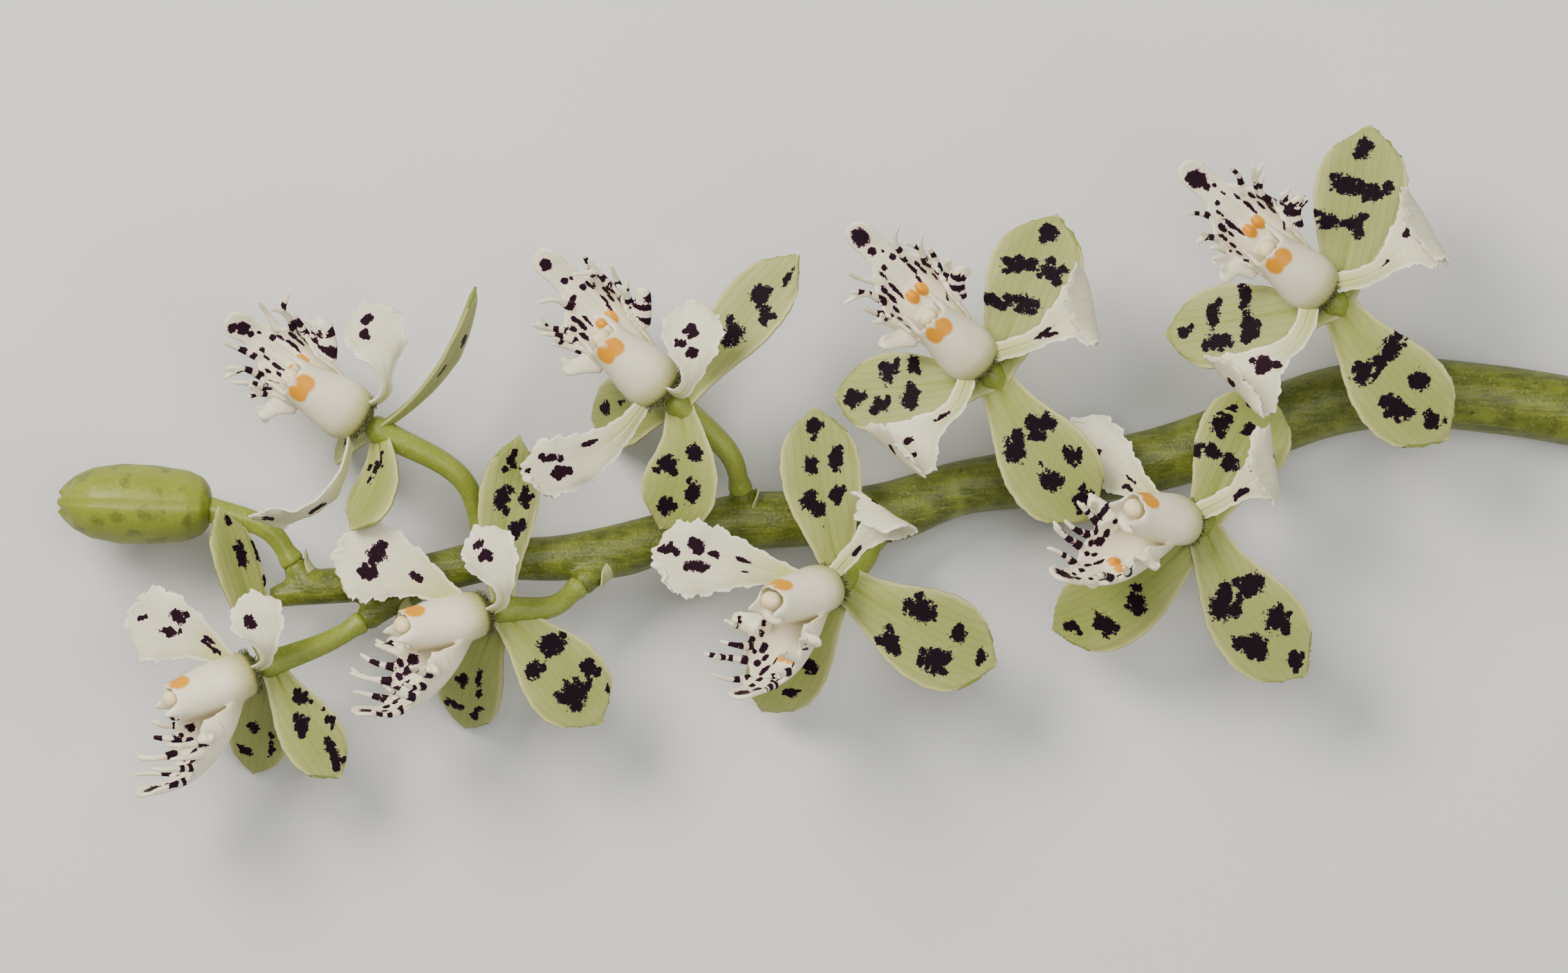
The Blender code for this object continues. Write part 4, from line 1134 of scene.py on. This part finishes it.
def sepal_look():
    n = Nodes("sepal")
    along, edge = n.field("along"), n.field("edge")
    mottle = n.noise(3.2, 3.0)
    fine = n.noise(0.35, 2.0)
    pale = n.mix(mottle, (0.25, 0.275, 0.068), (0.33, 0.345, 0.11))
    body = n.tint(pale, edge, 0.6, 3.6, 0.55, (0.20, 0.25, 0.042))
    body = n.tint(body, along, 0.42, 0.02, 0.7, (0.26, 0.29, 0.05))
    vein = n.veins(6.2, 2.5, 1.1, 0.45)
    body = n.mix(n.math("MULTIPLY", vein, 0.16), body, (0.15, 0.19, 0.03))
    body = n.mix(n.step(edge, 0.75, 0.05), body, (0.44, 0.43, 0.18))
    body = n.tint(body, fine, 0.5, 0.75, 0.12, (0.42, 0.43, 0.17))
    backs = n.mix(mottle, (0.18, 0.24, 0.03), (0.26, 0.31, 0.055))
    body = n.mix(n.field("inner"), backs, body)
    dark, rim = n.blotch()
    body = n.mix(rim, body, BLOTCH_RIM)
    body = n.mix(dark, body, BLOTCH)
    n.relief(n.math("ADD", n.math("MULTIPLY", vein, 0.8), fine), 0.05, 0.5)
    rough = n.math("MULTIPLY_ADD", fine, 0.12, 0.44)
    return n.finish(body, rough, n.matt(dark, 0.10), n.matt(dark, 0.35))


def petal_look():
    n = Nodes("petal")
    along, edge = n.field("along"), n.field("edge")
    fine = n.noise(0.3, 2.0)
    body = n.mix(n.noise(3.0), (0.58, 0.55, 0.37), (0.72, 0.68, 0.52))
    body = n.tint(body, along, 0.62, 0.18, 0.85, (0.42, 0.43, 0.13))
    vein = n.veins(5.0, 2.0, 1.0, 0.5)
    body = n.mix(n.math("MULTIPLY", vein, 0.14), body, (0.42, 0.46, 0.24))
    body = n.tint(body, edge, 0.6, 0.0, 0.5, (0.88, 0.86, 0.78))
    dark, rim = n.blotch(0.8)
    body = n.mix(rim, body, (0.13, 0.045, 0.085))
    body = n.mix(dark, body, (0.016, 0.006, 0.011))
    n.relief(n.math("ADD", n.math("MULTIPLY", vein, 0.6), fine), 0.04, 0.5)
    rough = n.math("MULTIPLY_ADD", fine, 0.12, 0.45)
    return n.finish(body, rough, n.matt(dark, 0.12), n.matt(dark, 0.35))


def lip_look():
    n = Nodes("lip")
    fine = n.noise(0.3, 2.0)
    body = n.mix(n.noise(2.6), (0.70, 0.64, 0.45), (0.80, 0.75, 0.60))
    stripes = n.math("SINE", n.math("MULTIPLY", n.field("turn"), 26.0))
    green = n.math("MULTIPLY", n.field("green"), n.math("MULTIPLY_ADD", stripes, 0.04, 0.92))
    body = n.mix(green, body, (0.30, 0.30, 0.06))
    body = n.mix(n.math("MULTIPLY", n.field("ring"), 0.95), body, (0.060, 0.066, 0.018))
    body = n.mix(n.step(n.field("orange"), 0.25, 0.62), body, (0.66, 0.27, 0.0005))
    dark, rim = n.blotch(0.55)
    inside = n.step(n.field("inner"), 0.35, 0.6)
    dark, rim = n.math("MULTIPLY", dark, inside), n.math("MULTIPLY", rim, inside)
    body = n.mix(rim, body, (0.14, 0.05, 0.10))
    body = n.mix(dark, body, (0.018, 0.007, 0.014))
    n.relief(fine, 0.03, 0.5)
    rough = n.math("MULTIPLY_ADD", fine, 0.12, 0.38)
    return n.finish(body, rough, n.matt(dark, 0.14), n.matt(dark, 0.4))


def stem_look():
    n = Nodes("stem")
    mottle, fine = n.noise(2.4, 4.0), n.noise(0.4, 3.0)
    streak = n.noise(0.8, 2.0, (9.0, 1.0, 1.0))
    body = n.mix(n.step(mottle, 0.3, 0.7), (0.062, 0.078, 0.005), (0.125, 0.145, 0.012))
    for value, low, high, share, colour in (
        (streak, 0.48, 0.66, 0.35, (0.19, 0.21, 0.022)),
        (streak, 0.45, 0.30, 0.25, (0.045, 0.062, 0.006)),
        (fine, 0.52, 0.72, 0.35, (0.26, 0.30, 0.06)),
        (n.noise(5.0, 2.0), 0.56, 0.72, 0.5, (0.22, 0.27, 0.035)),
        (n.noise(1.7, 4.0), 0.67, 0.74, 0.8, (0.05, 0.032, 0.012)),
        (n.noise(2.9, 5.0), 0.71, 0.78, 0.6, (0.36, 0.33, 0.15)),
    ):
        body = n.tint(body, value, low, high, share, colour)
    pith = n.mix(n.step(n.noise(0.7, 2.0), 0.4, 0.6), (0.45, 0.50, 0.24), (0.56, 0.58, 0.36))
    body = n.mix(n.field("cut"), body, pith)
    n.relief(n.math("ADD", n.math("ADD", mottle, fine), n.math("MULTIPLY", streak, 2.0)), 0.15, 0.7)
    return n.finish(body, n.math("MULTIPLY_ADD", fine, 0.2, 0.34), 0.05)


def pedicel_look():
    n = Nodes("pedicel")
    fine = n.noise(0.4, 3.0)
    body = n.mix(n.noise(2.2, 3.0), (0.15, 0.19, 0.016), (0.23, 0.27, 0.035))
    body = n.tint(body, fine, 0.5, 0.75, 0.3, (0.40, 0.44, 0.13))
    n.relief(fine, 0.06, 0.6)
    return n.finish(body, n.math("MULTIPLY_ADD", fine, 0.15, 0.36), 0.07)


def bud_look():
    n = Nodes("bud")
    fine = n.noise(0.45, 3.0)
    body = n.mix(n.noise(3.5, 3.0), (0.16, 0.19, 0.013), (0.24, 0.27, 0.03))
    body = n.tint(body, n.noise(3.0, 2.0), 0.52, 0.66, 0.55, (0.07, 0.085, 0.015))
    body = n.tint(body, fine, 0.52, 0.72, 0.25, (0.36, 0.38, 0.10))
    n.relief(fine, 0.08, 0.6)
    return n.finish(body, n.math("MULTIPLY_ADD", fine, 0.15, 0.38), 0.06)


def bract_look():
    n = Nodes("bract")
    body = n.mix(n.noise(0.8, 3.0), (0.30, 0.33, 0.12), (0.46, 0.46, 0.24))
    n.relief(n.noise(0.3, 2.0), 0.05, 0.5)
    return n.finish(body, 0.5, 0.1)


def anther_look():
    n = Nodes("anther")
    body = n.mix(n.noise(0.9, 3.0), (0.72, 0.58, 0.30), (0.82, 0.72, 0.48))
    n.relief(n.noise(0.25, 2.0), 0.04, 0.6)
    return n.finish(body, 0.42, 0.12)


def floor():
    """A plain pale floor under the spray."""
    mesh = bpy.data.meshes.new("floor")
    corners = [(x * FLOOR_REACH, y * FLOOR_REACH, FLOOR_Z) for x, y in ((-1, -1), (1, -1), (1, 1), (-1, 1))]
    mesh.from_pydata(corners, [], [(0, 1, 2, 3)])
    made = bpy.data.objects.new("floor", mesh)
    bpy.context.scene.collection.objects.link(made)
    n = Nodes("floor")
    colour = n.mix(n.noise(60.0, 2.0), (0.60, 0.60, 0.59), (0.63, 0.63, 0.62))
    mesh.materials.append(n.finish(colour, 0.85))


def light(name, place_mm, size_mm, power, colour):
    """A soft square lamp that looks at the middle of the spray."""
    lamp = bpy.data.lights.new(name, "AREA")
    lamp.shape = "SQUARE"
    lamp.size = size_mm * MM
    lamp.energy = power
    lamp.color = colour
    made = bpy.data.objects.new(name, lamp)
    made.location = [value * MM for value in place_mm]
    aim = made.location.copy()
    aim.negate()
    made.rotation_euler = aim.to_track_quat("-Z", "Y").to_euler()
    bpy.context.scene.collection.objects.link(made)


def studio():
    """Soft light from above and from the left, and the camera straight above the field."""
    world = bpy.data.worlds.new("studio")
    bpy.context.scene.world = world
    world.use_nodes = True
    background = world.node_tree.nodes["Background"]
    background.inputs["Color"].default_value = (1.0, 0.98, 0.94, 1)
    background.inputs["Strength"].default_value = 0.28
    for lamp in LAMPS:
        light(*lamp)
    camera = bpy.data.cameras.new("camera")
    camera.sensor_width = 36.0
    camera.lens = 360.0
    camera.clip_end = 10.0
    made = bpy.data.objects.new("camera", camera)
    made.location = (SHIFT[0] * MM, SHIFT[1] * MM, CAMERA_Z)
    bpy.context.scene.collection.objects.link(made)
    bpy.context.scene.camera = made


def main():
    looks = {
        "sepal": sepal_look(), "petal": petal_look(), "lip": lip_look(), "stem": stem_look(),
        "pedicel": pedicel_look(), "bud": bud_look(), "bract": bract_look(), "anther": anther_look(),
    }
    rachis_pieces(looks)
    bud_pieces(looks)
    for number, flower in enumerate(FLOWERS, 1):
        sepal_pieces(number, flower, looks)
        white_pieces(number, flower, looks)
        cap_piece(number, flower, looks)
    floor()
    studio()


main()
